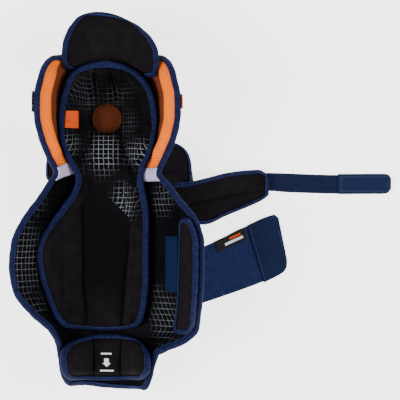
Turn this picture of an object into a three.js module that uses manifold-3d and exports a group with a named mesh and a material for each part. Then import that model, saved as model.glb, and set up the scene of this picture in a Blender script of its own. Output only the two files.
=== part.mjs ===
// A padded shin guard for the right leg, lying on its hard front shells. The hollow for the leg faces up.
// Millimetres. X runs across the leg, Y from the ankle end to the thigh flap, and Z up off the ground.
// Each soft piece is a sheet: rows of places on a surface, each with a point on both of the sheet's faces.

import * as THREE from "three";
import { mergeVertices } from "three/addons/utils/BufferGeometryUtils.js";
import Module from "manifold-3d";

const wasm = await Module();
wasm.setup();
const { clamp, lerp, degToRad } = THREE.MathUtils;

// The body: shin channel, neck and knee cup in one run, from the ankle end to the top of the cup.
const BODY_LENGTH = 439;
const INNER_WING_REACH = 122; // middle of the leg to the edge of the inner calf wing
const OUTER_WING_REACH = 128; // and to the edge of the outer one
const BODY_DEPTH = 95; // channel floor to the edges of the calf wings
const BODY_WALL = 9; // foam with its lining
const WALL_LEAN = 7; // how far the outer face stands out past the inner one at the edges
const BOTTOM_SKEW = 3; // how far the ankle end's two corners lie above and below its middle
const SKEW_END = 0.14; // share of the body's length where the skew has faded out
const NECK_WALL = 3; // elastic band at the neck
const FRONT_FLAT = 18; // half of the flat strip along the front
const NECK_START = 0.626; // shares of the body's length
const NECK_END = 0.664;
const CLIMB = [0.3, 0.62]; // shares of the way up each side where a fold line runs

// The hard shells on the front, in shares of the body's length.
const SHELL_WALL = 3;
const RIDGE_HEIGHT = 3;
const RIDGE_RAMP = 8;
const SHIN_SHELL_START = 0.03;
const SHIN_SHELL_END = 0.52;
const KNEE_SHELL_START = 0.76;
const KNEE_SHELL_END = 0.96;

// The ankle pad.
const ANKLE_PAD_LENGTH = 62;
const ANKLE_PAD_START = 10; // from the ankle end
const ANKLE_PAD_REACH = 60;
const ANKLE_PAD_WALL = 12;

// The removable liner: a channelled shin pad and a ring round the kneecap.
const LINER_GAP = 4.5; // from the ankle pad
const LINER_TOP = 7.5; // from the top of the cup
const LINER_START = ANKLE_PAD_START + ANKLE_PAD_LENGTH + LINER_GAP; // from the ankle end
const LINER_LENGTH = BODY_LENGTH - LINER_START - LINER_TOP;
const LINER_REACH = 90;
const LINER_DEPTH = 50;
const LINER_FLAT = 24;
const LINER_PAD = 12;
const LINER_CLEAR = 0.3; // further off the body than the other pads
const PAD_EDGE = 5; // thickness of a pad under its binding
const GROOVE_DEPTH = 5;
const GROOVE_HALF = 4;
const KNEE_HOLE_RADIUS = 19.5;
const KNEE_HOLE_ALONG = LINER_START + 0.79 * LINER_LENGTH; // from the ankle end

// The thigh flap.
const FLAP_HALF_WIDTH = 65;
const FLAP_HEIGHT = 79;
const FLAP_WALL = 8;
const FLAP_EDGE = 4;
const FLAP_CLEAR = 1; // further off the cup than the other pads
const FLAP_TUCK = 24; // how far it reaches down inside the cup
const FLAP_RISE = 12; // how far it climbs on past the cup's top edge
const FLAP_EASE = 15; // over about this distance

// The side tabs behind the neck.
const TAB_WALL = 6;
const TAB_ROOT = 62; // middle of the leg to the sewn edge
const OUTER_TAB_REACH = 53;
const INNER_TAB_REACH = 19;
const TAB_LENGTH = 54;
const TAB_GAP = 6.6; // from the knee shell
const TAB_START = KNEE_SHELL_START * BODY_LENGTH - TAB_GAP - TAB_LENGTH; // from the ankle end
const TAB_DROOP = 0.5; // fall for each millimetre out

// The calf pad on the outer wing, and the loop patch beside it.
const CALF_PAD_LENGTH = 154;
const CALF_PAD_START = BODY_LENGTH / 6; // from the ankle end
const CALF_PAD_WALL = 7;
const LOOP_PATCH_LENGTH = 73;
const LOOP_PATCH_WIDTH = 16;
const LOOP_PATCH_OFFSET = 56; // how much higher its low end lies than the calf pad's
const LOOP_PATCH_START = CALF_PAD_START + LOOP_PATCH_OFFSET; // from the ankle end
const LOOP_PATCH_ACROSS = 0.742 * OUTER_WING_REACH - LOOP_PATCH_WIDTH; // middle of the leg to its inner edge
const PATCH_WALL = 2;

// The upper strap: a padded paddle, an elastic and a hook tab.
const PADDLE_LENGTH = 148;
const PADDLE_WIDTH = 60;
const PADDLE_WALL = 7;
const PADDLE_ROOT = 67; // middle of the leg to the sewn end
const PADDLE_GAP = 1; // from its line up to the side tab
const PADDLE_LINE = TAB_START - PADDLE_GAP; // from the ankle end
const PADDLE_ROOT_HIGH = 5; // how far below its line the sewn end's two corners lie
const PADDLE_ROOT_LOW = 34;
const ELASTIC_WALL = 2;
const HOOK_WALL = 1.8;
const UPPER_ELASTIC_LENGTH = 168;
const UPPER_ELASTIC_WIDTH = 25;
const UPPER_ELASTIC_LAP = 17; // how much of it lies under the paddle
const UPPER_ELASTIC_OFFSET = 2; // how far its line lies from the paddle's
const UPPER_TAB_LENGTH = 71;
const UPPER_TAB_OVERHANG = 12; // how far it reaches on past the elastic

// The lower strap: one wide elastic with a hook tab and a label.
const LOWER_STRAP_ACROSS = OUTER_WING_REACH + 0.5; // where it comes out under the wing
const LOWER_STRAP_ALONG = 0.343 * BODY_LENGTH;
const LOWER_STRAP_TURN = degToRad(18);
const LOWER_STRAP_HIDDEN = 72; // how far it runs on under the wing
const LOWER_ELASTIC_LENGTH = 178;
const LOWER_ELASTIC_WIDTH = 70;
const LOWER_TAB_LENGTH = 41;
const LOWER_TAB_START = 73.5; // from where the strap comes out
const LABEL_WALL = 0.9;
const STRAP_LABEL_LENGTH = 44;
const STRAP_LABEL_WIDTH = 15;
const STRAP_LABEL_START = 26; // from where the strap comes out
const STRAP_LABEL_ACROSS = 22; // off the strap's line
const STRAP_LABEL_TILT = 5; // how much further off its far end lies
const INNER_KNEE_LABEL_LENGTH = 27;
const OUTER_KNEE_LABEL_LENGTH = 19;
const KNEE_LABEL_ALONG = 0.857 * BODY_LENGTH; // from the ankle end
const LINER_LABEL_LENGTH = 23;
const LINER_LABEL_REACH = 0.4; // how far it reaches from the binding's inner edge to the pad's own
const LINER_LABEL_ALONG = LINER_START + 0.784 * LINER_LENGTH; // from the ankle end

// Edge bindings, and the gaps between pieces.
const TAPE_WALL = 1.1;
const TAPE_WIDTH = 7;
const TAPE_GAP = 0.5;
const LIP_BACK = 0.6; // how far a binding's lip stops short of the line where its sheet starts to swell
const MOST_SLANT = 1.8; // how many times wider a binding may measure across where its outline slants
const SEAT_GAP = 0.7;
const PANEL_GAP = 0.4;
const LABEL_GAP = 0.4;

const CHANNEL_FLOOR = SHELL_WALL + RIDGE_HEIGHT + SEAT_GAP + BODY_WALL;
const TAPE_COVER = TAPE_WALL + TAPE_GAP;
const CORE_INSET = TAPE_COVER + 0.5; // from a sheet's bound edge to the foam inside
const CLEAR_OF_TAPE = TAPE_COVER + SEAT_GAP;

// along: share of BODY_LENGTH. inner and outer: shares of the two wings' reach.
// lift and rim: height of the floor and of the edges, as shares of BODY_DEPTH.
// curve: how late the sides rise.
// bow, in each table: how far a row's two ends trail its middle towards the ankle, as a share of the length.
const BODY_ROWS = [
  { along: 0.0, inner: 0.41, outer: 0.4, lift: 0.02, rim: 0.34, curve: 2.0, bow: -0.008 },
  { along: 0.03, inner: 0.475, outer: 0.45, lift: 0.0, rim: 0.38, curve: 2.0, bow: 0 },
  { along: 0.115, inner: 0.517, outer: 0.545, lift: 0.0, rim: 0.48, curve: 2.0, bow: 0 },
  { along: 0.14, inner: 0.53, outer: 0.66, lift: 0.0, rim: 0.56, curve: 1.95, bow: 0 },
  { along: 0.16, inner: 0.55, outer: 0.815, lift: 0.0, rim: 0.64, curve: 1.9, bow: 0 },
  { along: 0.19, inner: 0.605, outer: 0.945, lift: 0.0, rim: 0.73, curve: 1.9, bow: 0 },
  { along: 0.245, inner: 0.81, outer: 0.982, lift: 0.0, rim: 0.88, curve: 1.9, bow: 0 },
  { along: 0.305, inner: 0.966, outer: 0.997, lift: 0.0, rim: 0.97, curve: 1.9, bow: 0 },
  { along: 0.375, inner: 1.005, outer: 1.003, lift: 0.0, rim: 1.0, curve: 1.9, bow: 0 },
  { along: 0.44, inner: 0.98, outer: 1.003, lift: 0.01, rim: 1.0, curve: 1.9, bow: 0 },
  { along: 0.5, inner: 0.886, outer: 0.948, lift: 0.03, rim: 0.94, curve: 1.9, bow: 0 },
  { along: 0.56, inner: 0.734, outer: 0.787, lift: 0.06, rim: 0.82, curve: 1.95, bow: 0 },
  { along: 0.61, inner: 0.62, outer: 0.655, lift: 0.11, rim: 0.69, curve: 2.0, bow: 0 },
  { along: 0.643, inner: 0.55, outer: 0.563, lift: 0.15, rim: 0.62, curve: 2.0, bow: 0 },
  { along: 0.7, inner: 0.622, outer: 0.637, lift: 0.11, rim: 0.78, curve: 2.1, bow: 0 },
  { along: 0.76, inner: 0.692, outer: 0.72, lift: 0.03, rim: 0.93, curve: 2.2, bow: 0 },
  { along: 0.82, inner: 0.731, outer: 0.757, lift: 0.0, rim: 0.98, curve: 2.2, bow: 0 },
  { along: 0.87, inner: 0.729, outer: 0.755, lift: 0.0, rim: 1.0, curve: 2.2, bow: 0 },
  { along: 0.92, inner: 0.696, outer: 0.722, lift: 0.08, rim: 0.97, curve: 2.2, bow: 0 },
  { along: 0.96, inner: 0.66, outer: 0.69, lift: 0.2, rim: 0.92, curve: 2.2, bow: 0.003 },
  { along: 0.985, inner: 0.62, outer: 0.65, lift: 0.3, rim: 0.85, curve: 2.1, bow: 0.008 },
  { along: 1.0, inner: 0.58, outer: 0.61, lift: 0.38, rim: 0.79, curve: 2.0, bow: 0.01 },
];

// along: share of LINER_LENGTH. left and right: shares of LINER_REACH.
// lift, leftRim and rightRim: height of the floor and of the two edges, as shares of LINER_DEPTH.
// curve: how late the sides rise.
const LINER_ROWS = [
  { along: 0.0, left: 0.61, right: 0.49, lift: 0.0, leftRim: 0.6, rightRim: 0.36, curve: 2.0, bow: -0.014 },
  { along: 0.05, left: 0.74, right: 0.56, lift: 0.0, leftRim: 0.72, rightRim: 0.42, curve: 2.0, bow: -0.006 },
  { along: 0.12, left: 0.855, right: 0.605, lift: 0.0, leftRim: 0.85, rightRim: 0.48, curve: 2.0, bow: 0 },
  { along: 0.2, left: 0.955, right: 0.63, lift: 0.0, leftRim: 0.95, rightRim: 0.52, curve: 2.0, bow: 0 },
  { along: 0.285, left: 1.0, right: 0.63, lift: 0.0, leftRim: 1.0, rightRim: 0.54, curve: 2.0, bow: 0 },
  { along: 0.34, left: 0.955, right: 0.63, lift: 0.0, leftRim: 1.0, rightRim: 0.56, curve: 2.0, bow: 0 },
  { along: 0.4, left: 0.83, right: 0.635, lift: 0.05, leftRim: 0.95, rightRim: 0.6, curve: 2.0, bow: 0 },
  { along: 0.465, left: 0.65, right: 0.62, lift: 0.15, leftRim: 0.85, rightRim: 0.64, curve: 2.0, bow: 0 },
  { along: 0.52, left: 0.5, right: 0.58, lift: 0.26, leftRim: 0.76, rightRim: 0.7, curve: 2.0, bow: 0 },
  { along: 0.565, left: 0.45, right: 0.545, lift: 0.33, leftRim: 0.76, rightRim: 0.74, curve: 2.0, bow: 0 },
  { along: 0.605, left: 0.51, right: 0.57, lift: 0.32, leftRim: 0.8, rightRim: 0.8, curve: 2.0, bow: 0 },
  { along: 0.65, left: 0.6, right: 0.66, lift: 0.25, leftRim: 0.85, rightRim: 0.86, curve: 2.0, bow: 0 },
  { along: 0.71, left: 0.675, right: 0.735, lift: 0.18, leftRim: 0.92, rightRim: 0.95, curve: 2.0, bow: 0 },
  { along: 0.78, left: 0.695, right: 0.765, lift: 0.16, leftRim: 0.97, rightRim: 1.0, curve: 2.0, bow: 0 },
  { along: 0.85, left: 0.67, right: 0.73, lift: 0.22, leftRim: 1.0, rightRim: 1.02, curve: 1.9, bow: 0 },
  { along: 0.905, left: 0.62, right: 0.67, lift: 0.45, leftRim: 1.07, rightRim: 1.09, curve: 1.6, bow: 0.006 },
  { along: 0.95, left: 0.57, right: 0.58, lift: 0.72, leftRim: 1.15, rightRim: 1.17, curve: 1.5, bow: 0.018 },
  { along: 0.98, left: 0.52, right: 0.5, lift: 0.95, leftRim: 1.2, rightRim: 1.21, curve: 1.5, bow: 0.027 },
  { along: 1.0, left: 0.46, right: 0.4, lift: 1.1, leftRim: 1.24, rightRim: 1.24, curve: 1.5, bow: 0.031 },
];
// Grooves between the shin pad's channels: shares of the liner's width across, and of LINER_LENGTH along.
const LINER_GROOVES = [
  { across: 0.22, from: 0.03, to: 0.42 },
  { across: 0.415, from: 0.03, to: 0.5 },
  { across: 0.745, from: 0.03, to: 0.46 },
];

// along: share of ANKLE_PAD_LENGTH. left and right: shares of ANKLE_PAD_REACH.
const ANKLE_PAD_ROWS = [
  { along: 0.0, left: 0.84, right: 0.82, bow: -0.04 },
  { along: 0.12, left: 0.91, right: 0.91, bow: -0.03 },
  { along: 0.3, left: 0.96, right: 0.97, bow: -0.01 },
  { along: 0.55, left: 0.98, right: 0.97, bow: 0.0 },
  { along: 0.8, left: 0.93, right: 0.88, bow: 0.07 },
  { along: 1.0, left: 0.8, right: 0.74, bow: 0.12 },
];
const ANKLE_GROOVES = [-0.31, 0.31]; // shares of ANKLE_PAD_REACH

// along: share of FLAP_HEIGHT at the middle. left and right: shares of FLAP_HALF_WIDTH.
// skew: how much further along the left edge lies than the right one, as a share of FLAP_HEIGHT.
const FLAP_ROWS = [
  { along: 0.0, left: 0.78, right: 1.02, skew: 0.14, bow: 0 },
  { along: 0.15, left: 0.82, right: 1.06, skew: 0.13, bow: 0 },
  { along: 0.38, left: 0.81, right: 1.05, skew: 0.12, bow: 0 },
  { along: 0.6, left: 0.74, right: 0.95, skew: 0.13, bow: 0 },
  { along: 0.8, left: 0.645, right: 0.78, skew: 0.14, bow: 0.03 },
  { along: 0.92, left: 0.56, right: 0.64, skew: 0.13, bow: 0.055 },
  { along: 1.0, left: 0.45, right: 0.48, skew: 0.11, bow: 0.08 },
];

// along: share of TAB_LENGTH. reach: share of the tab's own reach.
const TAB_ROWS = [
  { along: 0.0, reach: 1.0 },
  { along: 0.5, reach: 0.95 },
  { along: 0.75, reach: 0.87 },
  { along: 0.91, reach: 0.74 },
  { along: 1.0, reach: 0.56 },
];

// along: share of CALF_PAD_LENGTH. left and right: shares of OUTER_WING_REACH.
const CALF_PAD_ROWS = [
  { along: 0.0, left: 0.65, right: 0.705 },
  { along: 0.07, left: 0.69, right: 0.795 },
  { along: 0.18, left: 0.735, right: 0.865 },
  { along: 0.34, left: 0.757, right: 0.882 },
  { along: 0.5, left: 0.762, right: 0.885 },
  { along: 0.7, left: 0.77, right: 0.885 },
  { along: 0.87, left: 0.775, right: 0.85 },
  { along: 1.0, left: 0.775, right: 0.8 },
];

// Straps, from the sewn end. high and low: where the edges lie, in shares of the strap's width off its line.
// rise: height of the underside, as a share of the sewn end's.
const PADDLE_ROWS = [
  { along: 0.0, high: -0.08, low: -0.57, rise: 1.0 },
  { along: 0.138, high: 0.0, low: -0.75, rise: 1.0 },
  { along: 0.29, high: 0.03, low: -0.88, rise: 0.92 },
  { along: 0.41, high: 0.095, low: -0.925, rise: 0.8 },
  { along: 0.605, high: 0.22, low: -0.735, rise: 0.48 },
  { along: 0.79, high: 0.28, low: -0.545, rise: 0.22 },
  { along: 0.905, high: 0.295, low: -0.425, rise: 0.13 },
  { along: 0.96, high: 0.24, low: -0.35, rise: 0.12 },
  { along: 1.0, high: 0.08, low: -0.26, rise: 0.12 },
];
const UPPER_ELASTIC_ROWS = [
  { along: 0.0, high: 0.46, low: -0.5 },
  { along: 0.11, high: 0.46, low: -0.51 },
  { along: 0.25, high: 0.43, low: -0.58 },
  { along: 0.6, high: 0.35, low: -0.65 },
  { along: 1.0, high: 0.33, low: -0.67 },
];
const UPPER_TAB_ROWS = [
  { along: 0.0, high: 0.4, low: -0.68 },
  { along: 0.88, high: 0.41, low: -0.66 },
  { along: 0.95, high: 0.36, low: -0.59 },
  { along: 1.0, high: 0.17, low: -0.36 },
];
const LOWER_ELASTIC_ROWS = [
  { along: 0.0, high: 0.47, low: -0.47, rise: 1.0 },
  { along: 0.1, high: 0.47, low: -0.47, rise: 0.5 },
  { along: 0.2, high: 0.48, low: -0.49, rise: 0.12 },
  { along: 0.3, high: 0.48, low: -0.52, rise: 0.0 },
  { along: 0.58, high: 0.53, low: -0.51, rise: 0.0 },
  { along: 0.78, high: 0.61, low: -0.49, rise: 0.0 },
  { along: 0.92, high: 0.62, low: -0.44, rise: 0.0 },
  { along: 1.0, high: 0.6, low: -0.25, rise: 0.0 },
];
// slant: how much further the high edge reaches than the low one, as a share of the tab's length.
const LOWER_TAB_ROWS = [
  { along: 0.0, high: 0.63, low: -0.51, slant: 0.05 },
  { along: 0.7, high: 0.67, low: -0.44, slant: 0.08 },
  { along: 0.9, high: 0.67, low: -0.36, slant: 0.13 },
  { along: 1.0, high: 0.58, low: -0.24, slant: 0.16 },
];

const MATERIALS = {
  shell: { color: 0xd9dce0, roughness: 0.35, metalness: 0 },
  foam: { color: 0x17151a, roughness: 0.9, metalness: 0 },
  print: { color: 0x0b0c11, roughness: 0.6, metalness: 0 },
  lining: { color: 0xe8782c, roughness: 0.9, metalness: 0 },
  tape: { color: 0x1f3a7a, roughness: 0.8, metalness: 0 },
  elastic: { color: 0x2a3f70, roughness: 0.85, metalness: 0 },
  rib: { color: 0xb4afc4, roughness: 0.8, metalness: 0 },
  loop: { color: 0x26305c, roughness: 0.95, metalness: 0 },
  hook: { color: 0x20305c, roughness: 0.7, metalness: 0 },
  label: { color: 0x22231f, roughness: 0.7, metalness: 0 },
  bright: { color: 0xff7d0a, roughness: 0.7, metalness: 0 },
};

// The value of one of a table's columns at a share along it, on a curve that never swings past its rows.
function column(rows, name, along) {
  const last = rows.length - 1;
  const k = along >= rows[last].along ? last : clamp(rows.findIndex((row) => row.along >= along), 1, last);
  const step = (i) => (rows[i][name] - rows[i - 1][name]) / (rows[i].along - rows[i - 1].along);
  const slope = (i) => {
    if (i === 0) return step(1);
    if (i === last) return step(last);
    const product = step(i) * step(i + 1);
    return product <= 0 ? 0 : (2 * product) / (step(i) + step(i + 1));
  };
  const width = rows[k].along - rows[k - 1].along;
  const t = clamp((along - rows[k - 1].along) / width, 0, 1);
  const start = t * (1 - t) ** 2 * slope(k - 1) * width;
  const end = t * t * (t - 1) * slope(k) * width;
  return lerp(rows[k - 1][name], rows[k][name], t * t * (3 - 2 * t)) + start + end;
}

// Shares along a sheet for its rows: the ends, a row at the binding's edge, the table's rows, and even steps
// between. Marks too near a binding's edge are left out.
function stations(inset, rows, widest) {
  const margin = inset * 1.6;
  const marks = rows.map((row) => row.along ?? row).filter((mark) => mark > margin && mark < 1 - margin);
  const firm = [0, inset, ...marks, 1 - inset, 1];
  return firm.flatMap((share, k) => {
    if (k === 0) return [share];
    const parts = Math.ceil((share - firm[k - 1]) / widest - 1e-6);
    return Array.from({ length: parts }, (_, n) => lerp(firm[k - 1], share, (n + 1) / parts));
  });
}

// A grid from rows of points on a surface: each place gets a point on both faces, by two distances off it.
// over is a distance, or a function of a place and its base. Places on the edge take the normal of the place
// inside them, so that a binding lies parallel to its sheet.
function sheetGrid(rows, over, under) {
  const top = rows.length - 1;
  const side = rows[0].length - 1;
  return rows.map((places, j) => places.map((base, i) => {
    const [row, place] = [clamp(j, 1, top - 1), clamp(i, 1, side - 1)];
    const along = rows[row + 1][place].clone().sub(rows[row - 1][place]);
    const normal = rows[row][place + 1].clone().sub(rows[row][place - 1]).cross(along).normalize();
    const raise = typeof over === "function" ? over(i, j, base) : over;
    return {
      over: base.clone().addScaledVector(normal, raise),
      under: base.clone().addScaledVector(normal, -under),
      normal,
      corner: row !== j && place !== i,
    };
  }));
}

// Points on a height field from rows of [x, y].
function onField(rows, height) {
  return rows.map((places) => places.map(([x, y]) => new THREE.Vector3(x, y, height(x, y))));
}

// The four places round a cell, from one on the diagonal that splits it. A corner's cell is split through it.
function cellPlaces(grid, j, i) {
  const round = [[j - 1, i - 1], [j - 1, i], [j, i], [j, i - 1]];
  const turned = grid[j - 1][i].corner || grid[j][i - 1].corner;
  return turned ? [...round.slice(1), round[0]] : round;
}

// The height of a grid's face at x, y, flat between its own points, or undefined outside it.
function faceHeight(grid, face, x, y) {
  for (let j = 1; j < grid.length; j++) {
    for (let i = 1; i < grid[0].length; i++) {
      const [a, b, c, d] = cellPlaces(grid, j, i).map(([row, place]) => grid[row][place][face]);
      const height = triangleHeight(a, b, c, x, y) ?? triangleHeight(a, c, d, x, y);
      if (height !== undefined) return height;
    }
  }
  return undefined;
}

function triangleHeight(a, b, c, x, y) {
  const area = (b.x - a.x) * (c.y - a.y) - (c.x - a.x) * (b.y - a.y);
  const v = ((x - a.x) * (c.y - a.y) - (c.x - a.x) * (y - a.y)) / area;
  const w = ((b.x - a.x) * (y - a.y) - (x - a.x) * (b.y - a.y)) / area;
  if (v < -1e-9 || w < -1e-9 || v + w > 1 + 1e-9) return undefined;
  return a.z + v * (b.z - a.z) + w * (c.z - a.z);
}

// A closed solid from corner points and faces that list their corners anticlockwise seen from outside.
function solid(points, faces) {
  const index = faces.flatMap((face) => {
    const corners = face.filter((corner, k) => corner !== face[(k + 1) % face.length]);
    return corners.slice(2).flatMap((corner, k) => [corners[0], corners[k + 1], corner]);
  });
  const geometry = new THREE.BufferGeometry();
  geometry.setAttribute("position", new THREE.Float32BufferAttribute(points.flatMap((p) => p.toArray()), 3));
  geometry.setIndex(index);
  return geometry;
}

// The grid's edge as [row, place] pairs, anticlockwise seen from above.
function edgePlaces(grid) {
  const top = grid.length - 1;
  const side = grid[0].length - 1;
  const run = (count, pair) => Array.from({ length: count }, (_, k) => pair(k));
  return [
    ...run(side, (k) => [0, k]),
    ...run(top, (k) => [k, side]),
    ...run(side, (k) => [top, side - k]),
    ...run(top, (k) => [top - k, 0]),
  ];
}

// The sheet itself: its two faces and the wall round them.
function sheet(grid) {
  const wide = grid[0].length;
  const points = grid.flatMap((row) => row.flatMap((place) => [place.over, place.under]));
  const over = ([j, i]) => 2 * (j * wide + i);
  const under = (place) => over(place) + 1;
  const faces = [];
  for (let j = 1; j < grid.length; j++) {
    for (let i = 1; i < wide; i++) {
      const [a, b, c, d] = cellPlaces(grid, j, i);
      faces.push([a, b, c, d].map(over), [a, d, c, b].map(under));
    }
  }
  const edge = edgePlaces(grid);
  edge.forEach((from, k) => {
    const to = edge[(k + 1) % edge.length];
    faces.push([over(from), under(from), under(to), over(to)]);
  });
  return solid(points, faces);
}

// The point of a face moved towards another place's, by a distance.
function moved(from, to, face, distance) {
  const way = to[face].clone().sub(from[face]);
  return from[face].clone().addScaledVector(way.normalize(), distance);
}

// A place moved towards another one, on both faces.
function shiftedTo(from, to, distance) {
  return { ...from, over: moved(from, to, "over", distance), under: moved(from, to, "under", distance) };
}

// A copy of the grid with its whole edge drawn in, which leaves room for its binding.
function drawnIn(grid, distance) {
  const top = grid.length - 1;
  const side = grid[0].length - 1;
  return grid.map((row, j) => row.map((place, i) => {
    const inner = grid[clamp(j, 1, top - 1)][clamp(i, 1, side - 1)];
    if (inner === place) return place;
    return shiftedTo(place, inner, distance);
  }));
}

// A copy of the grid with its first and last rows drawn in, where it meets its neighbours.
function shortened(grid, first, last) {
  return grid.map((row, j) => row.map((place, i) => {
    const next = grid[j === 0 ? 1 : j - 1][i];
    const distance = j === 0 ? first : last;
    if (distance === 0 || (j > 0 && j < grid.length - 1)) return place;
    return shiftedTo(place, next, distance);
  }));
}

// A tape folded over the whole edge of a sheet: a U in section, a small gap off both faces.
function binding(grid) {
  const top = grid.length - 1;
  const side = grid[0].length - 1;
  const points = [];
  const edge = edgePlaces(grid);
  const sections = edge.map(([j, i]) => {
    const row = clamp(j, 1, top - 1);
    const place = clamp(i, 1, side - 1);
    const at = grid[j][i];
    const inner = grid[row][place];
    const add = (point, off) => points.push(point.addScaledVector(inner.normal, off)) - 1;
    const lip = (face, off) => add(moved(inner, at, face, LIP_BACK), off);
    const fold = (face, inward, off) => add(moved(at, inner, face, inward), off);
    return [
      lip("over", TAPE_COVER),
      fold("over", 0, TAPE_COVER),
      fold("under", 0, -TAPE_COVER),
      lip("under", -TAPE_COVER),
      lip("under", -TAPE_GAP),
      fold("under", TAPE_WALL, -TAPE_GAP),
      fold("over", TAPE_WALL, TAPE_GAP),
      lip("over", TAPE_GAP),
    ];
  });
  // Each inner face is split along the same diagonal as the face of the sheet that it lies against.
  const insideWall = 5;
  const faces = sections.flatMap((section, k) => {
    const next = sections[(k + 1) % sections.length];
    const alongRow = edge[k][0] === edge[(k + 1) % edge.length][0];
    return section.map((corner, c) => {
      const turn = (c + 1) % section.length;
      const quad = [corner, section[turn], next[turn], next[c]];
      const turned = c === insideWall || (c % 2 === 0 && (c % 4 === 0) === alongRow);
      return turned ? [...quad.slice(1), quad[0]] : quad;
    });
  });
  return solid(points, faces);
}

// One closed geometry less another.
function cut(geometry, tool) {
  const [piece, cutter] = [geometry, tool].map((source) => {
    const bare = new THREE.BufferGeometry();
    bare.setAttribute("position", (source.index ? source.toNonIndexed() : source).getAttribute("position"));
    const merged = mergeVertices(bare, 1e-3);
    return new wasm.Manifold(new wasm.Mesh({
      numProp: 3,
      vertProperties: merged.attributes.position.array,
      triVerts: new Uint32Array(merged.index.array),
    }));
  });
  const mesh = piece.subtract(cutter).getMesh();
  const made = new THREE.BufferGeometry();
  made.setAttribute("position", new THREE.BufferAttribute(mesh.vertProperties, 3));
  made.setIndex(new THREE.BufferAttribute(mesh.triVerts, 1));
  return made;
}

const group = new THREE.Group();

function addMesh(name, material, geometry) {
  geometry.computeVertexNormals();
  const mesh = new THREE.Mesh(geometry, new THREE.MeshStandardMaterial(MATERIALS[material]));
  mesh.name = name;
  group.add(mesh);
}

function addBoundSheet(name, material, grid) {
  addMesh(name, material, sheet(drawnIn(grid, CORE_INSET)));
  addMesh(`${name}_binding`, "tape", binding(grid));
}

// Half of the body's inner width at a share of its length, on one side.
function bodyReach(side, along) {
  return side < 0 ? column(BODY_ROWS, "inner", along) * INNER_WING_REACH - WALL_LEAN
    : column(BODY_ROWS, "outer", along) * OUTER_WING_REACH - WALL_LEAN;
}

// The inner face of the body over the ground. It runs on a little past the edge.
function bodyHeight(x, y) {
  const along = clamp(y / BODY_LENGTH, 0, 1);
  const lift = column(BODY_ROWS, "lift", along);
  const rim = column(BODY_ROWS, "rim", along);
  const out = clamp((Math.abs(x) - FRONT_FLAT) / (bodyReach(x, along) - FRONT_FLAT), 0, 1.3);
  return CHANNEL_FLOOR + BODY_DEPTH * (lift + (rim - lift) * out ** column(BODY_ROWS, "curve", along));
}

// The part of a slope's length that shows from above, across the leg.
function flatness(height, x, y) {
  const step = 0.5;
  return Math.cos(Math.atan((height(x + step, y) - height(x - step, y)) / (2 * step)));
}

// A sheet's edge, across, as a function of the share of its length.
function edgeOf(rows, name, reach) {
  return (along) => column(rows, name, along) * reach;
}

// How far in from an edge, across, a binding's inner line lies. It is further where the outline slants.
function tapeInset(edge, along, length, height, y) {
  const step = 0.008;
  const slant = (edge(along + step) - edge(along - step)) / (2 * step * length);
  return TAPE_WIDTH * flatness(height, edge(along), y) * Math.min(MOST_SLANT, Math.hypot(1, slant));
}

// How far a place trails the middle of its row, as a share of the sheet's length.
function bowed(rows, along, x, left, right) {
  return column(rows, "bow", along) * (x / (x < 0 ? left : right)) ** 2;
}

// The body's places across: its edges, its binding's inner lines, the fold lines, the ridge's edges and ramps.
function bodyPlaces(along) {
  const left = -bodyReach(-1, along);
  const right = bodyReach(1, along);
  const y = along * BODY_LENGTH;
  const inset = [-1, 1].map((side) => (
    tapeInset((share) => side * bodyReach(side, share), along, BODY_LENGTH, bodyHeight, y)));
  const leftIn = left + inset[0];
  const rightIn = right - inset[1];
  const ramp = FRONT_FLAT + RIDGE_RAMP;
  const skew = BOTTOM_SKEW * clamp(1 - along / SKEW_END, 0, 1);
  const places = [
    left, leftIn, lerp(-ramp, leftIn, CLIMB[1]), lerp(-ramp, leftIn, CLIMB[0]), -ramp, -FRONT_FLAT,
    FRONT_FLAT, ramp, lerp(ramp, rightIn, CLIMB[0]), lerp(ramp, rightIn, CLIMB[1]), rightIn, right,
  ];
  return places.map((x) => {
    const trail = bowed(BODY_ROWS, along, x, left, right) * BODY_LENGTH;
    return [x, y - skew * clamp(x / ramp, -1, 1) - trail];
  });
}

const shellMarks = [SHIN_SHELL_START, SHIN_SHELL_END, KNEE_SHELL_START, KNEE_SHELL_END];
const bodyMarks = [...BODY_ROWS.map((row) => row.along), ...shellMarks, NECK_START, NECK_END]
  .sort((a, b) => a - b)
  .filter((mark, k, all) => k === 0 || mark - all[k - 1] > 0.004);
const bodyStations = stations(TAPE_WIDTH / BODY_LENGTH, bodyMarks, 0.08);
const bodyGrid = sheetGrid(onField(bodyStations.map(bodyPlaces), bodyHeight), 0, BODY_WALL);

// The row of the body nearest to a share of its length.
function bodyRow(share) {
  const off = bodyStations.map((station) => Math.abs(station - share));
  return off.indexOf(Math.min(...off));
}

// A surface a distance off the body's inner face, measured square to it.
function offBody(distance) {
  return (x, y) => {
    const face = faceHeight(bodyGrid, "over", x, y) ?? bodyHeight(x, y);
    return face + distance / flatness(bodyHeight, x, y);
  };
}

function addBody() {
  const [start, end] = [bodyRow(NECK_START), bodyRow(NECK_END)];
  const core = drawnIn(bodyGrid, CORE_INSET);
  const band = core.slice(start, end + 1).map((row) => row.map((place) => (
    { ...place, under: place.over.clone().addScaledVector(place.normal, -NECK_WALL) })));
  const half = PANEL_GAP / 2;
  addMesh("shin_padding", "print", sheet(shortened(core.slice(0, start + 1), 0, half)));
  addMesh("neck_elastic", "rib", sheet(shortened(band, half, half)));
  addMesh("knee_lining", "lining", sheet(shortened(core.slice(end), half, 0)));
  addMesh("body_binding", "tape", binding(bodyGrid));
}

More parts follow.
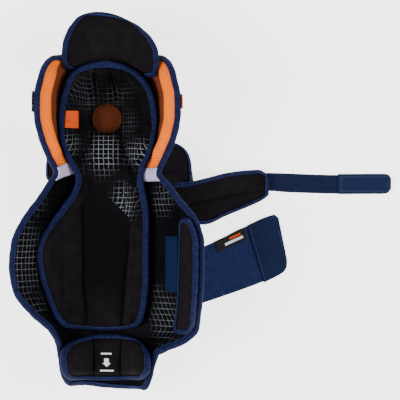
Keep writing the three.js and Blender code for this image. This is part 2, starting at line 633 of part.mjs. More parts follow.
// A hard shell under the body, with a ridge down its middle for the guard to stand on.
function addShell(name, from, to) {
  const bare = 2; // places across that the shell leaves uncovered at each side
  const rows = bodyGrid.slice(bodyRow(from), bodyRow(to) + 1);
  const grid = rows.map((row) => row.slice(bare, row.length - bare).map((place) => {
    const ridge = Math.abs(place.over.x) < FRONT_FLAT + RIDGE_RAMP / 2 ? RIDGE_HEIGHT : 0;
    return {
      ...place,
      over: place.under.clone().addScaledVector(place.normal, -SEAT_GAP),
      under: place.under.clone().addScaledVector(place.normal, -SEAT_GAP - SHELL_WALL - ridge),
    };
  }));
  addMesh(name, "shell", sheet(grid));
}

// Places across a bound pad with grooves: three to a groove, its middle the deepest, and one on each slope.
function groovedPlaces(left, right, inset, middles) {
  const lines = middles.flatMap((x) => [x - GROOVE_HALF, x, x + GROOVE_HALF]);
  const [leftIn, rightIn] = [left + inset[0], right - inset[1]];
  return [left, leftIn, (leftIn + lines[0]) / 2, ...lines, (lines.at(-1) + rightIn) / 2, rightIn, right];
}

// The thickness of a grooved pad at each of its places.
function padThickness(wall, rowCount, placeCount, isSunk) {
  const firstMiddle = 4;
  return (i, j, base) => {
    if (i < 2 || j < 2 || i > placeCount - 3 || j > rowCount - 3) return PAD_EDGE;
    const isMiddle = i >= firstMiddle && i < placeCount - firstMiddle && (i - firstMiddle) % 3 === 0;
    return isMiddle && isSunk((i - firstMiddle) / 3, base) ? wall - GROOVE_DEPTH : wall;
  };
}

// The underside of the liner over the ground. Where it would sink into the body, it lies on it.
function linerHeight(x, y) {
  const along = clamp((y - LINER_START) / LINER_LENGTH, 0, 1);
  const side = x < 0 ? "left" : "right";
  const reach = column(LINER_ROWS, side, along) * LINER_REACH;
  const flat = Math.min(LINER_FLAT, reach / 2);
  const out = clamp((Math.abs(x) - flat) / (reach - flat), 0, 1);
  const lift = column(LINER_ROWS, "lift", along);
  const rim = column(LINER_ROWS, `${side}Rim`, along);
  const share = lerp(lift, rim, out ** column(LINER_ROWS, "curve", along));
  return Math.max(CHANNEL_FLOOR + SEAT_GAP + LINER_DEPTH * share, offBody(CLEAR_OF_TAPE + LINER_CLEAR)(x, y));
}

function addLiner() {
  const shares = stations(TAPE_WIDTH / LINER_LENGTH, LINER_ROWS, 0.06);
  const edges = [edgeOf(LINER_ROWS, "left", -LINER_REACH), edgeOf(LINER_ROWS, "right", LINER_REACH)];
  const rows = shares.map((along) => {
    const y = LINER_START + along * LINER_LENGTH;
    const [left, right] = edges.map((edge) => edge(along));
    const inset = edges.map((edge) => tapeInset(edge, along, LINER_LENGTH, linerHeight, y));
    const middles = LINER_GROOVES.map((groove) => lerp(left, right, groove.across));
    return groovedPlaces(left, right, inset, middles)
      .map((x) => [x, y - bowed(LINER_ROWS, along, x, left, right) * LINER_LENGTH]);
  });
  const isSunk = (k, base) => {
    const along = (base.y - LINER_START) / LINER_LENGTH;
    return along >= LINER_GROOVES[k].from && along <= LINER_GROOVES[k].to;
  };
  const thickness = padThickness(LINER_PAD, rows.length, rows[0].length, isSunk);
  const grid = sheetGrid(onField(rows, linerHeight), thickness, 0);
  const outline = new THREE.Shape().absarc(0, KNEE_HOLE_ALONG, KNEE_HOLE_RADIUS, 0, 2 * Math.PI);
  const boring = { depth: BODY_DEPTH, bevelEnabled: false, curveSegments: 9 };
  const hole = new THREE.ExtrudeGeometry(outline, boring);
  addMesh("liner", "foam", cut(sheet(drawnIn(grid, CORE_INSET)), hole));
  addMesh("liner_binding", "tape", binding(grid));
  return grid;
}

function addAnklePad() {
  const height = offBody(CLEAR_OF_TAPE + TAPE_COVER);
  const reaches = { left: -ANKLE_PAD_REACH, right: ANKLE_PAD_REACH };
  const edges = Object.keys(reaches).map((name) => edgeOf(ANKLE_PAD_ROWS, name, reaches[name]));
  const shares = stations(TAPE_WIDTH / ANKLE_PAD_LENGTH, ANKLE_PAD_ROWS, 0.25);
  const rows = shares.map((along) => {
    const y = ANKLE_PAD_START + along * ANKLE_PAD_LENGTH;
    const [left, right] = edges.map((edge) => edge(along));
    const inset = edges.map((edge) => tapeInset(edge, along, ANKLE_PAD_LENGTH, height, y));
    const middles = ANKLE_GROOVES.map((share) => share * ANKLE_PAD_REACH);
    return groovedPlaces(left, right, inset, middles)
      .map((x) => [x, y - bowed(ANKLE_PAD_ROWS, along, x, left, right) * ANKLE_PAD_LENGTH]);
  });
  const thickness = padThickness(ANKLE_PAD_WALL, rows.length, rows[0].length, () => true);
  addBoundSheet("ankle_pad", "foam", sheetGrid(onField(rows, height), thickness, 0));
}

// Evenly spread places across a bound sheet, with a line at the inner edge of its binding on each side.
function evenPlaces(left, right, inset, parts) {
  const [leftIn, rightIn] = [left + inset[0], right - inset[1]];
  const inner = Array.from({ length: parts + 1 }, (_, k) => lerp(leftIn, rightIn, k / parts));
  return [left, ...inner, right];
}

function addFlap() {
  const seat = offBody(CLEAR_OF_TAPE + TAPE_COVER + FLAP_CLEAR);
  const height = (x, y) => {
    const beyond = Math.max(0, y - BODY_LENGTH);
    return seat(x, Math.min(y, BODY_LENGTH)) + FLAP_RISE * (1 - Math.exp(-beyond / FLAP_EASE));
  };
  const edges = [edgeOf(FLAP_ROWS, "left", -FLAP_HALF_WIDTH), edgeOf(FLAP_ROWS, "right", FLAP_HALF_WIDTH)];
  const shares = stations(TAPE_WIDTH / FLAP_HEIGHT, FLAP_ROWS, 0.12);
  const rows = shares.map((along) => {
    const middle = BODY_LENGTH - FLAP_TUCK + along * FLAP_HEIGHT;
    const skew = column(FLAP_ROWS, "skew", along) * FLAP_HEIGHT;
    const [left, right] = edges.map((edge) => edge(along));
    const inset = edges.map((edge) => tapeInset(edge, along, FLAP_HEIGHT, height, middle));
    return evenPlaces(left, right, inset, 6).map((x) => {
      const trail = bowed(FLAP_ROWS, along, x, left, right) * FLAP_HEIGHT;
      return [x, middle - trail - skew * ((x - left) / (right - left) - 0.5)];
    });
  });
  const thickness = (i, j) => (j < 2 ? FLAP_EDGE : FLAP_WALL);
  addBoundSheet("thigh_flap", "foam", sheetGrid(onField(rows, height), thickness, 0));
}

// A side tab, sewn to the body's outer face at its root and drooping from there.
function addTab(name, side, reach) {
  const root = side * TAB_ROOT;
  const height = (x, y) => {
    const under = faceHeight(bodyGrid, "under", root, y) - CLEAR_OF_TAPE;
    return under - TAB_DROOP * (Math.abs(x) - TAB_ROOT);
  };
  const rows = stations(TAPE_WIDTH / TAB_LENGTH, TAB_ROWS, 0.3).map((along) => {
    const edge = side * (TAB_ROOT + reach * column(TAB_ROWS, "reach", along));
    const inset = Math.min(TAPE_WIDTH, Math.abs(edge - root) * 0.3);
    const places = evenPlaces(Math.min(root, edge), Math.max(root, edge), [inset, inset], 2);
    return places.map((x) => [x, TAB_START + along * TAB_LENGTH]);
  });
  addBoundSheet(name, "foam", sheetGrid(onField(rows, height), 0, TAB_WALL));
}

function addCalfPad() {
  const height = offBody(CLEAR_OF_TAPE);
  const rows = stations(TAPE_WIDTH / CALF_PAD_LENGTH, CALF_PAD_ROWS, 0.25).map((along) => {
    const y = CALF_PAD_START + along * CALF_PAD_LENGTH;
    const left = column(CALF_PAD_ROWS, "left", along) * OUTER_WING_REACH;
    const right = column(CALF_PAD_ROWS, "right", along) * OUTER_WING_REACH;
    const inset = Math.min(TAPE_WIDTH * flatness(height, right, y), (right - left) * 0.3);
    return evenPlaces(left, right, [inset, inset], 2).map((x) => [x, y]);
  });
  const thickness = (i, j) => (i === 2 && j > 1 && j < rows.length - 2 ? CALF_PAD_WALL : PAD_EDGE);
  addBoundSheet("calf_pad", "foam", sheetGrid(onField(rows, height), thickness, 0));
  const patch = [0, 0.25, 0.5, 0.75, 1].map((along) => [0, 0.5, 1].map((share) => (
    [LOOP_PATCH_ACROSS + share * LOOP_PATCH_WIDTH, LOOP_PATCH_START + along * LOOP_PATCH_LENGTH])));
  addMesh("loop_patch", "loop", sheet(sheetGrid(onField(patch, offBody(SEAT_GAP)), PATCH_WALL, 0)));
}

// Rows of a strap: points between a table's two edges, placed by a function of the share along and the offset.
function strapRows(shares, table, width, spread, placed) {
  return shares.map((along) => spread.map((share) => {
    const across = lerp(column(table, "high", along), column(table, "low", along), share) * width;
    return placed(along, across, share);
  }));
}

function addUpperStrap() {
  const rootHeight = (y) => {
    const [low, high] = [PADDLE_LINE - PADDLE_ROOT_LOW, PADDLE_LINE - PADDLE_ROOT_HIGH];
    const under = faceHeight(bodyGrid, "under", PADDLE_ROOT, clamp(y, low, high));
    const slope = flatness(bodyHeight, PADDLE_ROOT, low);
    return under - PADDLE_WALL - (CLEAR_OF_TAPE + SEAT_GAP) / slope;
  };
  const inset = TAPE_WIDTH / PADDLE_WIDTH;
  const shares = stations(TAPE_WIDTH / PADDLE_LENGTH, PADDLE_ROWS, 0.16);
  const onPaddle = (along, across) => {
    const y = PADDLE_LINE + across;
    const z = rootHeight(y) * column(PADDLE_ROWS, "rise", along);
    return new THREE.Vector3(PADDLE_ROOT + along * PADDLE_LENGTH, y, z);
  };
  const paddle = strapRows(shares, PADDLE_ROWS, PADDLE_WIDTH, [0, inset, 0.5, 1 - inset, 1], onPaddle);
  addBoundSheet("upper_strap_paddle", "foam", sheetGrid(paddle, PADDLE_WALL, 0));

  const start = PADDLE_ROOT + PADDLE_LENGTH - UPPER_ELASTIC_LAP;
  const line = PADDLE_LINE + UPPER_ELASTIC_OFFSET;
  const elastic = strapRows(
    stations(0.05, UPPER_ELASTIC_ROWS, 0.3), UPPER_ELASTIC_ROWS, UPPER_ELASTIC_WIDTH, [0, 0.5, 1],
    (along, across) => new THREE.Vector3(start + along * UPPER_ELASTIC_LENGTH, line + across, 0),
  );
  addMesh("upper_strap_elastic", "elastic", sheet(sheetGrid(elastic, ELASTIC_WALL, 0)));

  const tabStart = start + UPPER_ELASTIC_LENGTH + UPPER_TAB_OVERHANG - UPPER_TAB_LENGTH;
  const tab = strapRows(
    stations(0.04, UPPER_TAB_ROWS, 0.5), UPPER_TAB_ROWS, UPPER_ELASTIC_WIDTH, [0, 0.5, 1],
    (along, across) => (
      new THREE.Vector3(tabStart + along * UPPER_TAB_LENGTH, line + across, ELASTIC_WALL + SEAT_GAP)),
  );
  addMesh("upper_strap_tab", "hook", sheet(sheetGrid(tab, HOOK_WALL, 0)));
}

// A place on the lower strap's own line, which comes out from under the wing at an angle.
function onLowerStrap(distance, across, z) {
  return new THREE.Vector3(distance, across, z)
    .applyAxisAngle(new THREE.Vector3(0, 0, 1), LOWER_STRAP_TURN)
    .add(new THREE.Vector3(LOWER_STRAP_ACROSS, LOWER_STRAP_ALONG, 0));
}

function addLowerStrap() {
  const rootHeight = (across) => {
    const root = onLowerStrap(-LOWER_STRAP_HIDDEN, across, 0);
    const slope = flatness(bodyHeight, root.x, root.y);
    return faceHeight(bodyGrid, "under", root.x, root.y) - ELASTIC_WALL - (SHELL_WALL + 2 * SEAT_GAP) / slope;
  };
  const elastic = strapRows(
    stations(0.04, LOWER_ELASTIC_ROWS, 0.3), LOWER_ELASTIC_ROWS, LOWER_ELASTIC_WIDTH, [0, 0.33, 0.67, 1],
    (along, across) => {
      const z = rootHeight(across) * column(LOWER_ELASTIC_ROWS, "rise", along);
      return onLowerStrap(along * LOWER_ELASTIC_LENGTH - LOWER_STRAP_HIDDEN, across, z);
    },
  );
  addMesh("lower_strap_elastic", "elastic", sheet(sheetGrid(elastic, ELASTIC_WALL, 0)));

  const onElastic = ELASTIC_WALL + LABEL_GAP;
  const tab = strapRows(
    stations(0.08, LOWER_TAB_ROWS, 0.5), LOWER_TAB_ROWS, LOWER_ELASTIC_WIDTH, [0, 0.5, 1],
    (along, across, share) => {
      const slant = column(LOWER_TAB_ROWS, "slant", along) * (0.5 - share);
      return onLowerStrap(LOWER_TAB_START + LOWER_TAB_LENGTH * (along + slant), across, onElastic);
    },
  );
  addMesh("lower_strap_tab", "hook", sheet(sheetGrid(tab, HOOK_WALL, 0)));

  const label = [0, 0.5, 1].map((along) => [1, 0.5, 0].map((share) => {
    const across = STRAP_LABEL_ACROSS + along * STRAP_LABEL_TILT + share * STRAP_LABEL_WIDTH;
    return onLowerStrap(STRAP_LABEL_START + along * STRAP_LABEL_LENGTH, across, onElastic);
  }));
  addMesh("lower_strap_label", "label", sheet(sheetGrid(label, LABEL_WALL, 0)));
}

// The point of a face at a distance from the ankle end, on one of the grid's lines.
function onLine(grid, place, face, y) {
  const above = grid.findIndex((row) => row[place][face].y > y);
  const [a, b] = [grid[above - 1][place][face], grid[above][place][face]];
  return a.clone().lerp(b, (y - a.y) / (b.y - a.y));
}

// A small label on the cup's outer face, over the binding's outer lip.
function addKneeLabel(name, side, length, material) {
  const [edgeLine, innerLine] = side < 0 ? [0, 1] : [bodyGrid[0].length - 1, bodyGrid[0].length - 2];
  const rows = [-0.5, 0, 0.5].map((share) => {
    const y = KNEE_LABEL_ALONG + share * length;
    const edge = onLine(bodyGrid, edgeLine, "under", y);
    const inner = onLine(bodyGrid, innerLine, "under", y);
    const beyond = inner.clone().multiplyScalar(2).sub(edge);
    return side < 0 ? [edge, inner, beyond] : [beyond, inner, edge];
  });
  addMesh(name, material, sheet(sheetGrid(rows, -CLEAR_OF_TAPE, CLEAR_OF_TAPE + LABEL_WALL)));
}

// A label folded over the liner's binding beside the knee.
function addLinerLabel(linerGrid) {
  const rows = [-0.5, 0, 0.5].map((share) => {
    const y = LINER_LABEL_ALONG + share * LINER_LABEL_LENGTH;
    const [edge, inner, pad] = [0, 1, 2].map((place) => onLine(linerGrid, place, "over", y));
    return [edge, inner, inner.clone().lerp(pad, LINER_LABEL_REACH)];
  });
  addMesh("liner_label", "bright", sheet(sheetGrid(rows, CLEAR_OF_TAPE + LABEL_WALL, -CLEAR_OF_TAPE)));
}

addBody();
addShell("shin_shell", SHIN_SHELL_START, SHIN_SHELL_END);
addShell("knee_shell", KNEE_SHELL_START, KNEE_SHELL_END);
addLinerLabel(addLiner());
addAnklePad();
addFlap();
addTab("outer_side_tab", 1, OUTER_TAB_REACH);
addTab("inner_side_tab", -1, INNER_TAB_REACH);
addCalfPad();
addUpperStrap();
addLowerStrap();
addKneeLabel("inner_knee_label", -1, INNER_KNEE_LABEL_LENGTH, "label");
addKneeLabel("outer_knee_label", 1, OUTER_KNEE_LABEL_LENGTH, "bright");

const extent = new THREE.Box3().setFromObject(group);
const middle = extent.getCenter(new THREE.Vector3());
group.children.forEach((mesh) => mesh.geometry.translate(-middle.x, -middle.y, -extent.min.z));

export default group;
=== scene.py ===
import math

import bpy
import numpy as np
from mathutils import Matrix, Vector, noise


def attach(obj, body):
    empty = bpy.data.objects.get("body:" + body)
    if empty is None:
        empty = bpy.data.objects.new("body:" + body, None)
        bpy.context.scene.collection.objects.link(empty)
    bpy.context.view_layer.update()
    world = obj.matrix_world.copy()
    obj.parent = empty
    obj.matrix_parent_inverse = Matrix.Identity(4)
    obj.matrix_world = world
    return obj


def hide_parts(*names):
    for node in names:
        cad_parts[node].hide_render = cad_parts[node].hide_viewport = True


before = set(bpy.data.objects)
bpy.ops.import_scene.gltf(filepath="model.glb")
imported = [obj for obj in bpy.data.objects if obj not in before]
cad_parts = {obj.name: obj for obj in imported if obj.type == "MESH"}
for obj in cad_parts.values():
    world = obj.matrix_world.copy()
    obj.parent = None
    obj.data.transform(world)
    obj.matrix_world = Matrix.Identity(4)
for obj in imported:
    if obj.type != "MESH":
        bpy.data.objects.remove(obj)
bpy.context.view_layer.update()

MIDDLE = (126.7525, 245.6665)  # the frame's origin on the guard's axes

# The body.
BODY_LENGTH = 439
INNER_WING_REACH = 122
OUTER_WING_REACH = 128
BODY_DEPTH = 95
BODY_WALL = 9
BODY_STEP = 3.0  # between the rows of its mesh
BODY_PRESSED = 4  # how much thinner the body is at its rim
WALL_LEAN = 7
BOTTOM_SKEW = 3
SKEW_END = 0.14
NECK_WALL = 3
FRONT_FLAT = 18
NECK_START = 0.626
NECK_END = 0.664
NECK_RISE = 13  # how much higher the elastic is sewn in on the inner side
CUP_ROLL = 9  # how far the padded roll inside the cup's rim stands in
CUP_ROLL_WIDTH = 24

# The shells.
SHELL_WALL = 3
RIDGE_HEIGHT = 3
RIDGE_RAMP = 8
SHELL_CLIMB = 0.62  # how far up the sides the shells reach, as a share
SHIN_SHELL = (0.03, 0.52)
KNEE_SHELL = (0.76, 0.96)

# The liner.
LINER_LENGTH = 355
LINER_START = 76.5
LINER_REACH = 90
LINER_DEPTH = 50
LINER_FLAT = 24
LINER_PAD = 12
LINER_CLEAR = 0.3
PAD_EDGE = 5
GROOVE_DEPTH = 5
CHANNEL_DEPTH = 2
KNEE_HOLE = (0, LINER_START + 0.79 * LINER_LENGTH, 19.5)  # x, y and radius
HOLE_ROUND = 8.0

# The other pads.
ANKLE_PAD_LENGTH = 62
ANKLE_PAD_START = 10
ANKLE_PAD_REACH = 60
ANKLE_PAD_WALL = 12
FLAP_HALF_WIDTH = 65
FLAP_HEIGHT = 79
FLAP_WALL = 8
FLAP_EDGE = 4
FLAP_CLEAR = 1
FLAP_TUCK = 24
FLAP_RISE = 12
FLAP_EASE = 15
TAB_WALL = 6
TAB_ROOT = 62
OUTER_TAB_REACH = 53
INNER_TAB_REACH = 19
TAB_LENGTH = 54
TAB_TO_SHELL = 6.6
TAB_START = KNEE_SHELL[0] * BODY_LENGTH - TAB_TO_SHELL - TAB_LENGTH
TAB_DROOP = 0.5
TAB_HIDDEN = 11  # how far the outer tab goes on under the paddle, and how far it sinks there
TAB_SINK = 13
CALF_PAD_LENGTH = 154
CALF_PAD_START = BODY_LENGTH / 6
CALF_PAD_WALL = 7
CALF_PAD_SHORT = 1  # how far the pad stops short of the body's rim, on top of its binding
LOOP_PATCH = (79, CALF_PAD_START + 56, 16, 73)  # x, y, width and length
PATCH_WALL = 2

# The straps.
PADDLE_LENGTH = 148
PADDLE_WIDTH = 60
PADDLE_WALL = 7
PADDLE_ROOT = 67
PADDLE_LINE = TAB_START - 1
PADDLE_ROOT_SPAN = (PADDLE_LINE - 34, PADDLE_LINE - 5)  # y of its sewn end
PADDLE_SEAM = [(100, 242), (115, 247), (185, 260), (204, 262)]
ELASTIC_WALL = 2
HOOK_WALL = 1.8
UPPER_ELASTIC_LENGTH = 168
UPPER_ELASTIC_WIDTH = 25
UPPER_ELASTIC_LAP = 17
UPPER_ELASTIC_OFFSET = 2
UPPER_TAB_LENGTH = 71
UPPER_TAB_OVERHANG = 12
LOWER_STRAP_AT = (OUTER_WING_REACH + 0.5, 0.343 * BODY_LENGTH)
LOWER_STRAP_TURN = math.radians(18)
LOWER_STRAP_HIDDEN = 72
LOWER_ELASTIC_LENGTH = 178
LOWER_ELASTIC_WIDTH = 70
LOWER_TAB_LENGTH = 41
LOWER_TAB_START = 73.5
STRAP_INSET = 1.2  # over which a strap's two ends are rounded
LABEL_WALL = 0.9
STRAP_LABEL = (26, 22, 44, 15, 5)  # start, offset, length, width and tilt
KNEE_LABELS = (0.857 * BODY_LENGTH, 27, 19)  # y of their middles, and the lengths of the two
LINER_LABEL = (LINER_START + 0.784 * LINER_LENGTH, 23)  # y of its middle, and length
LINER_LABEL_WIDTH = 16

# Bindings and gaps.
TAPE_WALL = 1.1
TAPE_WIDTH = 7
TAPE_GAP = 0.5
MOST_SLANT = 1.8
SEAT_GAP = 0.7
LABEL_GAP = 0.4
CHANNEL_FLOOR = SHELL_WALL + RIDGE_HEIGHT + SEAT_GAP + BODY_WALL
TAPE_COVER = TAPE_WALL + TAPE_GAP
CLEAR_OF_TAPE = TAPE_COVER + SEAT_GAP
EDGE_LINES = np.array([0, 1 / 3, 2 / 3, 1])  # a sheet's lines under its binding, as shares of its width


def table(names, rows):
    """Columns by name, from a line of numbers for each row."""
    names = names.split()
    return dict(zip(names, np.array(rows.split(), float).reshape(-1, len(names)).T))


BODY_ROWS = table("along inner outer lift rim curve bow", """
    0 0.41 0.4 0.02 0.34 2 -0.008
    0.03 0.475 0.45 0 0.38 2 0
    0.115 0.517 0.545 0 0.48 2 0
    0.14 0.53 0.69 0 0.56 1.95 0
    0.16 0.55 0.86 0 0.64 1.9 0
    0.19 0.605 0.965 0 0.73 1.9 0
    0.245 0.81 0.982 0 0.88 1.9 0
    0.305 0.966 0.997 0 0.97 1.9 0
    0.375 1.005 1.003 0 1 1.9 0
    0.44 0.98 1.003 0.01 1 1.9 0
    0.5 0.886 0.948 0.03 0.94 1.9 0
    0.56 0.734 0.787 0.06 0.82 1.95 0
    0.61 0.62 0.655 0.11 0.69 2 0
    0.643 0.55 0.563 0.15 0.62 2 0
    0.7 0.622 0.637 0.11 0.78 2.1 0
    0.76 0.692 0.72 0.03 0.93 2.2 0
    0.82 0.731 0.757 0 0.98 2.2 0
    0.87 0.729 0.755 0 1 2.2 0
    0.92 0.696 0.722 0.08 0.97 2.2 0
    0.96 0.66 0.69 0.2 0.92 2.2 0.003
    0.985 0.62 0.65 0.3 0.85 2.1 0.008
    1 0.58 0.61 0.38 0.79 2 0.01
""")
LINER_ROWS = table("along left right lift left_rim right_rim curve bow", """
    0 0.61 0.49 0 0.6 0.36 2 -0.014
    0.05 0.74 0.56 0 0.72 0.42 2 -0.006
    0.12 0.855 0.605 0 0.85 0.48 2 0
    0.2 0.955 0.63 0 0.95 0.52 2 0
    0.285 1 0.63 0 1 0.54 2 0
    0.34 0.955 0.63 0 1 0.56 2 0
    0.4 0.83 0.635 0.05 0.95 0.6 2 0
    0.465 0.65 0.62 0.15 0.85 0.64 2 0
    0.52 0.5 0.58 0.26 0.76 0.7 2 0
    0.565 0.45 0.545 0.33 0.76 0.74 2 0
    0.605 0.51 0.57 0.32 0.8 0.8 2 0
    0.65 0.6 0.66 0.25 0.85 0.86 2 0
    0.71 0.675 0.735 0.18 0.92 0.95 2 0
    0.78 0.695 0.765 0.16 0.97 1 2 0
    0.85 0.67 0.73 0.22 1 1.02 1.9 0
    0.905 0.62 0.67 0.45 1.07 1.09 1.6 0.006
    0.95 0.57 0.58 0.72 1.15 1.17 1.5 0.018
    0.98 0.52 0.5 0.95 1.2 1.21 1.5 0.027
    1 0.46 0.4 1.1 1.24 1.24 1.5 0.031
""")
# Grooves down the liner, as lines in plan with how deep they are.
LINER_GROOVES = [
    ([(-57.4, 214), (-57.4, 150), (-54, 86)], 3.2),
    ([(-31, 262), (-30.4, 141), (-23.8, 82)], 5.5),
    ([(31, 212), (24.5, 159), (18.6, 82)], 5.5),
]
ANKLE_PAD_ROWS = table("along left right bow", """
    0 0.84 0.82 -0.04
    0.12 0.91 0.91 -0.03
    0.3 0.96 0.97 -0.01
    0.55 0.98 0.97 0
    0.8 0.93 0.88 0.07
    1 0.8 0.74 0.12
""")
ANKLE_GROOVE = 0.31  # share of the ankle pad's reach
FLAP_ROWS = table("along left right skew bow", """
    0 0.83 1.03 0.14 0
    0.15 0.87 1.08 0.13 0
    0.38 0.85 1.07 0.12 0
    0.6 0.77 0.96 0.13 0
    0.8 0.645 0.78 0.14 0.03
    0.92 0.56 0.64 0.13 0.055
    1 0.45 0.48 0.11 0.08
""")
TAB_ROWS = table("along reach", """
    0 1
    0.5 0.95
    0.75 0.87
    0.91 0.74
    1 0.56
""")
CALF_PAD_ROWS = table("along left", """
    0 0.69
    0.07 0.715
    0.18 0.735
    0.34 0.757
    0.5 0.762
    0.7 0.77
    0.87 0.775
    1 0.775
""")
PADDLE_ROWS = table("along high low rise", """
    0 -0.08 -0.57 1
    0.138 0 -0.75 1
    0.29 0.03 -0.88 0.92
    0.41 0.095 -0.925 0.8
    0.605 0.22 -0.735 0.48
    0.79 0.28 -0.545 0.22
    0.905 0.295 -0.425 0.13
    0.96 0.24 -0.35 0.12
    1 0.08 -0.26 0.12
""")
UPPER_ELASTIC_ROWS = table("along high low", """
    0 0.46 -0.5
    0.11 0.46 -0.51
    0.25 0.43 -0.58
    0.6 0.35 -0.65
    1 0.33 -0.67
""")
UPPER_TAB_ROWS = table("along high low", """
    0 0.4 -0.68
    0.88 0.41 -0.66
    0.95 0.36 -0.59
    1 0.17 -0.36
""")
LOWER_ELASTIC_ROWS = table("along high low rise", """
    0 0.47 -0.47 1
    0.1 0.47 -0.47 0.5
    0.2 0.48 -0.49 0.12
    0.3 0.48 -0.52 0
    0.58 0.53 -0.51 0
    0.78 0.61 -0.49 0
    0.92 0.62 -0.44 0
    1 0.6 -0.25 0
""")
LOWER_TAB_ROWS = table("along high low slant", """
    0 0.63 -0.51 0.05
    0.7 0.67 -0.44 0.08
    0.9 0.67 -0.36 0.13
    1 0.58 -0.24 0.16
""")

# Creases of the liner's knee ring in plan, and the seam where its printed cloth meets the brushed one.
KNEE_CREASES = [
    [(-12, 428), (-16, 385)],
    [(2, 428), (14, 381)],
    [(-19, 341), (-35, 294)],
    [(17, 344), (23, 315), (33, 284)],
]
CLOTH_SEAM = [(-46, 282), (-24.7, 270.4), (8.3, 248), (29.4, 226.8), (40, 212), (48, 183), (52, 120)]
LINER_FOLD = [(-82, 183), (-60, 193)]
# Patches where the printed grid shows: x, y, half width, half length and strength.
LINER_PRINT = [
    (-28, 388, 18, 22, 0.24),
    (-4, 312, 20, 24, 1.0),
    (42, 311, 19, 16, 0.9),
    (12, 385, 15, 12, 0.2),
    (28, 391, 12, 12, 0.12),
    (22, 243, 14, 24, 0.9),
    (-47, 322, 12, 14, 0.6),
    (30, 350, 12, 18, 0.2),
]
BODY_PRINT = [
    (-104, 173, 20, 46, 0.55),
    (-90, 250, 13, 20, 0.35),
    (-92, 112, 13, 19, 0.3),
    (74, 250, 12, 19, 0.5),
    (78, 96, 17, 31, 0.55),
    (66, 128, 9, 10, 0.3),
]


# ---------------------------------------------------------------- surfaces

def column(rows, name, along):
    """A table's column at a share along it, on a curve that never swings past its rows."""
    at, value = rows["along"], rows[name]
    width = np.diff(at)
    step = np.diff(value) / width
    product = step[:-1] * step[1:]
    total = np.where(product > 0, step[:-1] + step[1:], 1)
    slope = np.concatenate([step[:1], np.where(product > 0, 2 * product / total, 0), step[-1:]])
    k = np.clip(np.searchsorted(at, along), 1, len(at) - 1)
    t = np.clip((along - at[k - 1]) / width[k - 1], 0, 1)
    start = t * (1 - t) ** 2 * slope[k - 1] * width[k - 1]
    end = t * t * (t - 1) * slope[k] * width[k - 1]
    return value[k - 1] + (value[k] - value[k - 1]) * t * t * (3 - 2 * t) + start + end


def smooth(value, low, high):
    """0 below low and 1 above high, with a soft step between."""
    t = np.clip((value - low) / (high - low), 0, 1)
    return t * t * (3 - 2 * t)


def body_reach(side, along):
    inner = column(BODY_ROWS, "inner", along) * INNER_WING_REACH
    outer = column(BODY_ROWS, "outer", along) * OUTER_WING_REACH
    return np.where(side < 0, inner, outer) - WALL_LEAN


def body_height(x, y):
    along = np.clip(y / BODY_LENGTH, 0, 1)
    lift = column(BODY_ROWS, "lift", along)
    rim = column(BODY_ROWS, "rim", along)
    out = np.clip((np.abs(x) - FRONT_FLAT) / (body_reach(x, along) - FRONT_FLAT), 0, 1.3)
    return CHANNEL_FLOOR + BODY_DEPTH * (lift + (rim - lift) * out ** column(BODY_ROWS, "curve", along))


def flatness(height, x, y):
    step = 0.5
    return np.cos(np.arctan((height(x + step, y) - height(x - step, y)) / (2 * step)))


def off_body(distance):
    return lambda x, y: body_height(x, y) + distance / flatness(body_height, x, y)


def liner_height(x, y):
    along = np.clip((y - LINER_START) / LINER_LENGTH, 0, 1)
    left, right, left_rim, right_rim = (
        column(LINER_ROWS, name, along) for name in ("left", "right", "left_rim", "right_rim"))
    reach = LINER_REACH * np.where(x < 0, left, right)
    rim = np.where(x < 0, left_rim, right_rim)
    flat = np.minimum(LINER_FLAT, reach / 2)
    out = np.clip((np.abs(x) - flat) / (reach - flat), 0, 1)
    lift = column(LINER_ROWS, "lift", along)
    share = lift + (rim - lift) * out ** column(LINER_ROWS, "curve", along)
    return np.maximum(CHANNEL_FLOOR + SEAT_GAP + LINER_DEPTH * share, off_body(CLEAR_OF_TAPE + LINER_CLEAR)(x, y))


def tape_inset(edge, along, length, height, y):
    """How far in from an edge, across, a binding's inner line lies. It is further where the outline slants."""
    step = 0.008
    slant = (edge(along + step) - edge(along - step)) / (2 * step * length)
    return TAPE_WIDTH * flatness(height, edge(along), y) * np.minimum(MOST_SLANT, np.hypot(1, slant))


def shares_along(length, step, inset=TAPE_WIDTH):
    """Shares along a sheet for its rows, with the binding's lines at both ends."""
    inset = inset / length
    inner = np.linspace(inset, 1 - inset, max(2, round((1 - 2 * inset) * length / step)) + 1)[1:-1]
    return np.concatenate([inset * EDGE_LINES, inner, 1 - inset * EDGE_LINES[::-1]])


def places_across(left, right, inset, parts):
    """Places across for each row, with the binding's lines at both sides."""
    left, right = left[:, None], right[:, None]
    left_in, right_in = left + inset[0][:, None], right - inset[1][:, None]
    inner = left_in + (right_in - left_in) * (np.arange(1, parts) / parts)
    return np.hstack([
        left + (left_in - left) * EDGE_LINES,
        inner,
        right + (right_in - right) * EDGE_LINES[::-1],
    ])


def rounded(share):
    """The height of a quarter circle at a share of its radius in from the edge."""
    return np.sqrt(np.clip(1 - (1 - np.clip(share, 0, 1)) ** 2, 0, 1))


def sideways(x):
    """From -1 at each row's left end to 1 at its right end, and 0 on the middle line."""
    return np.where(x < 0, x / -x[:, :1], x / x[:, -1:])


def pad_rows(rows, length, reach, start, step, parts, height):
    """A pad's shares along, and its places in plan, with ends that bow as its table says."""
    shares = shares_along(length, step)
    y = start + shares * length
    edges = [lambda share, side=side, name=name: side * reach * column(rows, name, np.clip(share, 0, 1))
             for side, name in ((-1, "left"), (1, "right"))]
    inset = [tape_inset(edge, shares, length, height, y) for edge in edges]
    x = places_across(edges[0](shares), edges[1](shares), inset, parts)
    return shares, x, y[:, None] - column(rows, "bow", shares)[:, None] * sideways(x) ** 2 * length


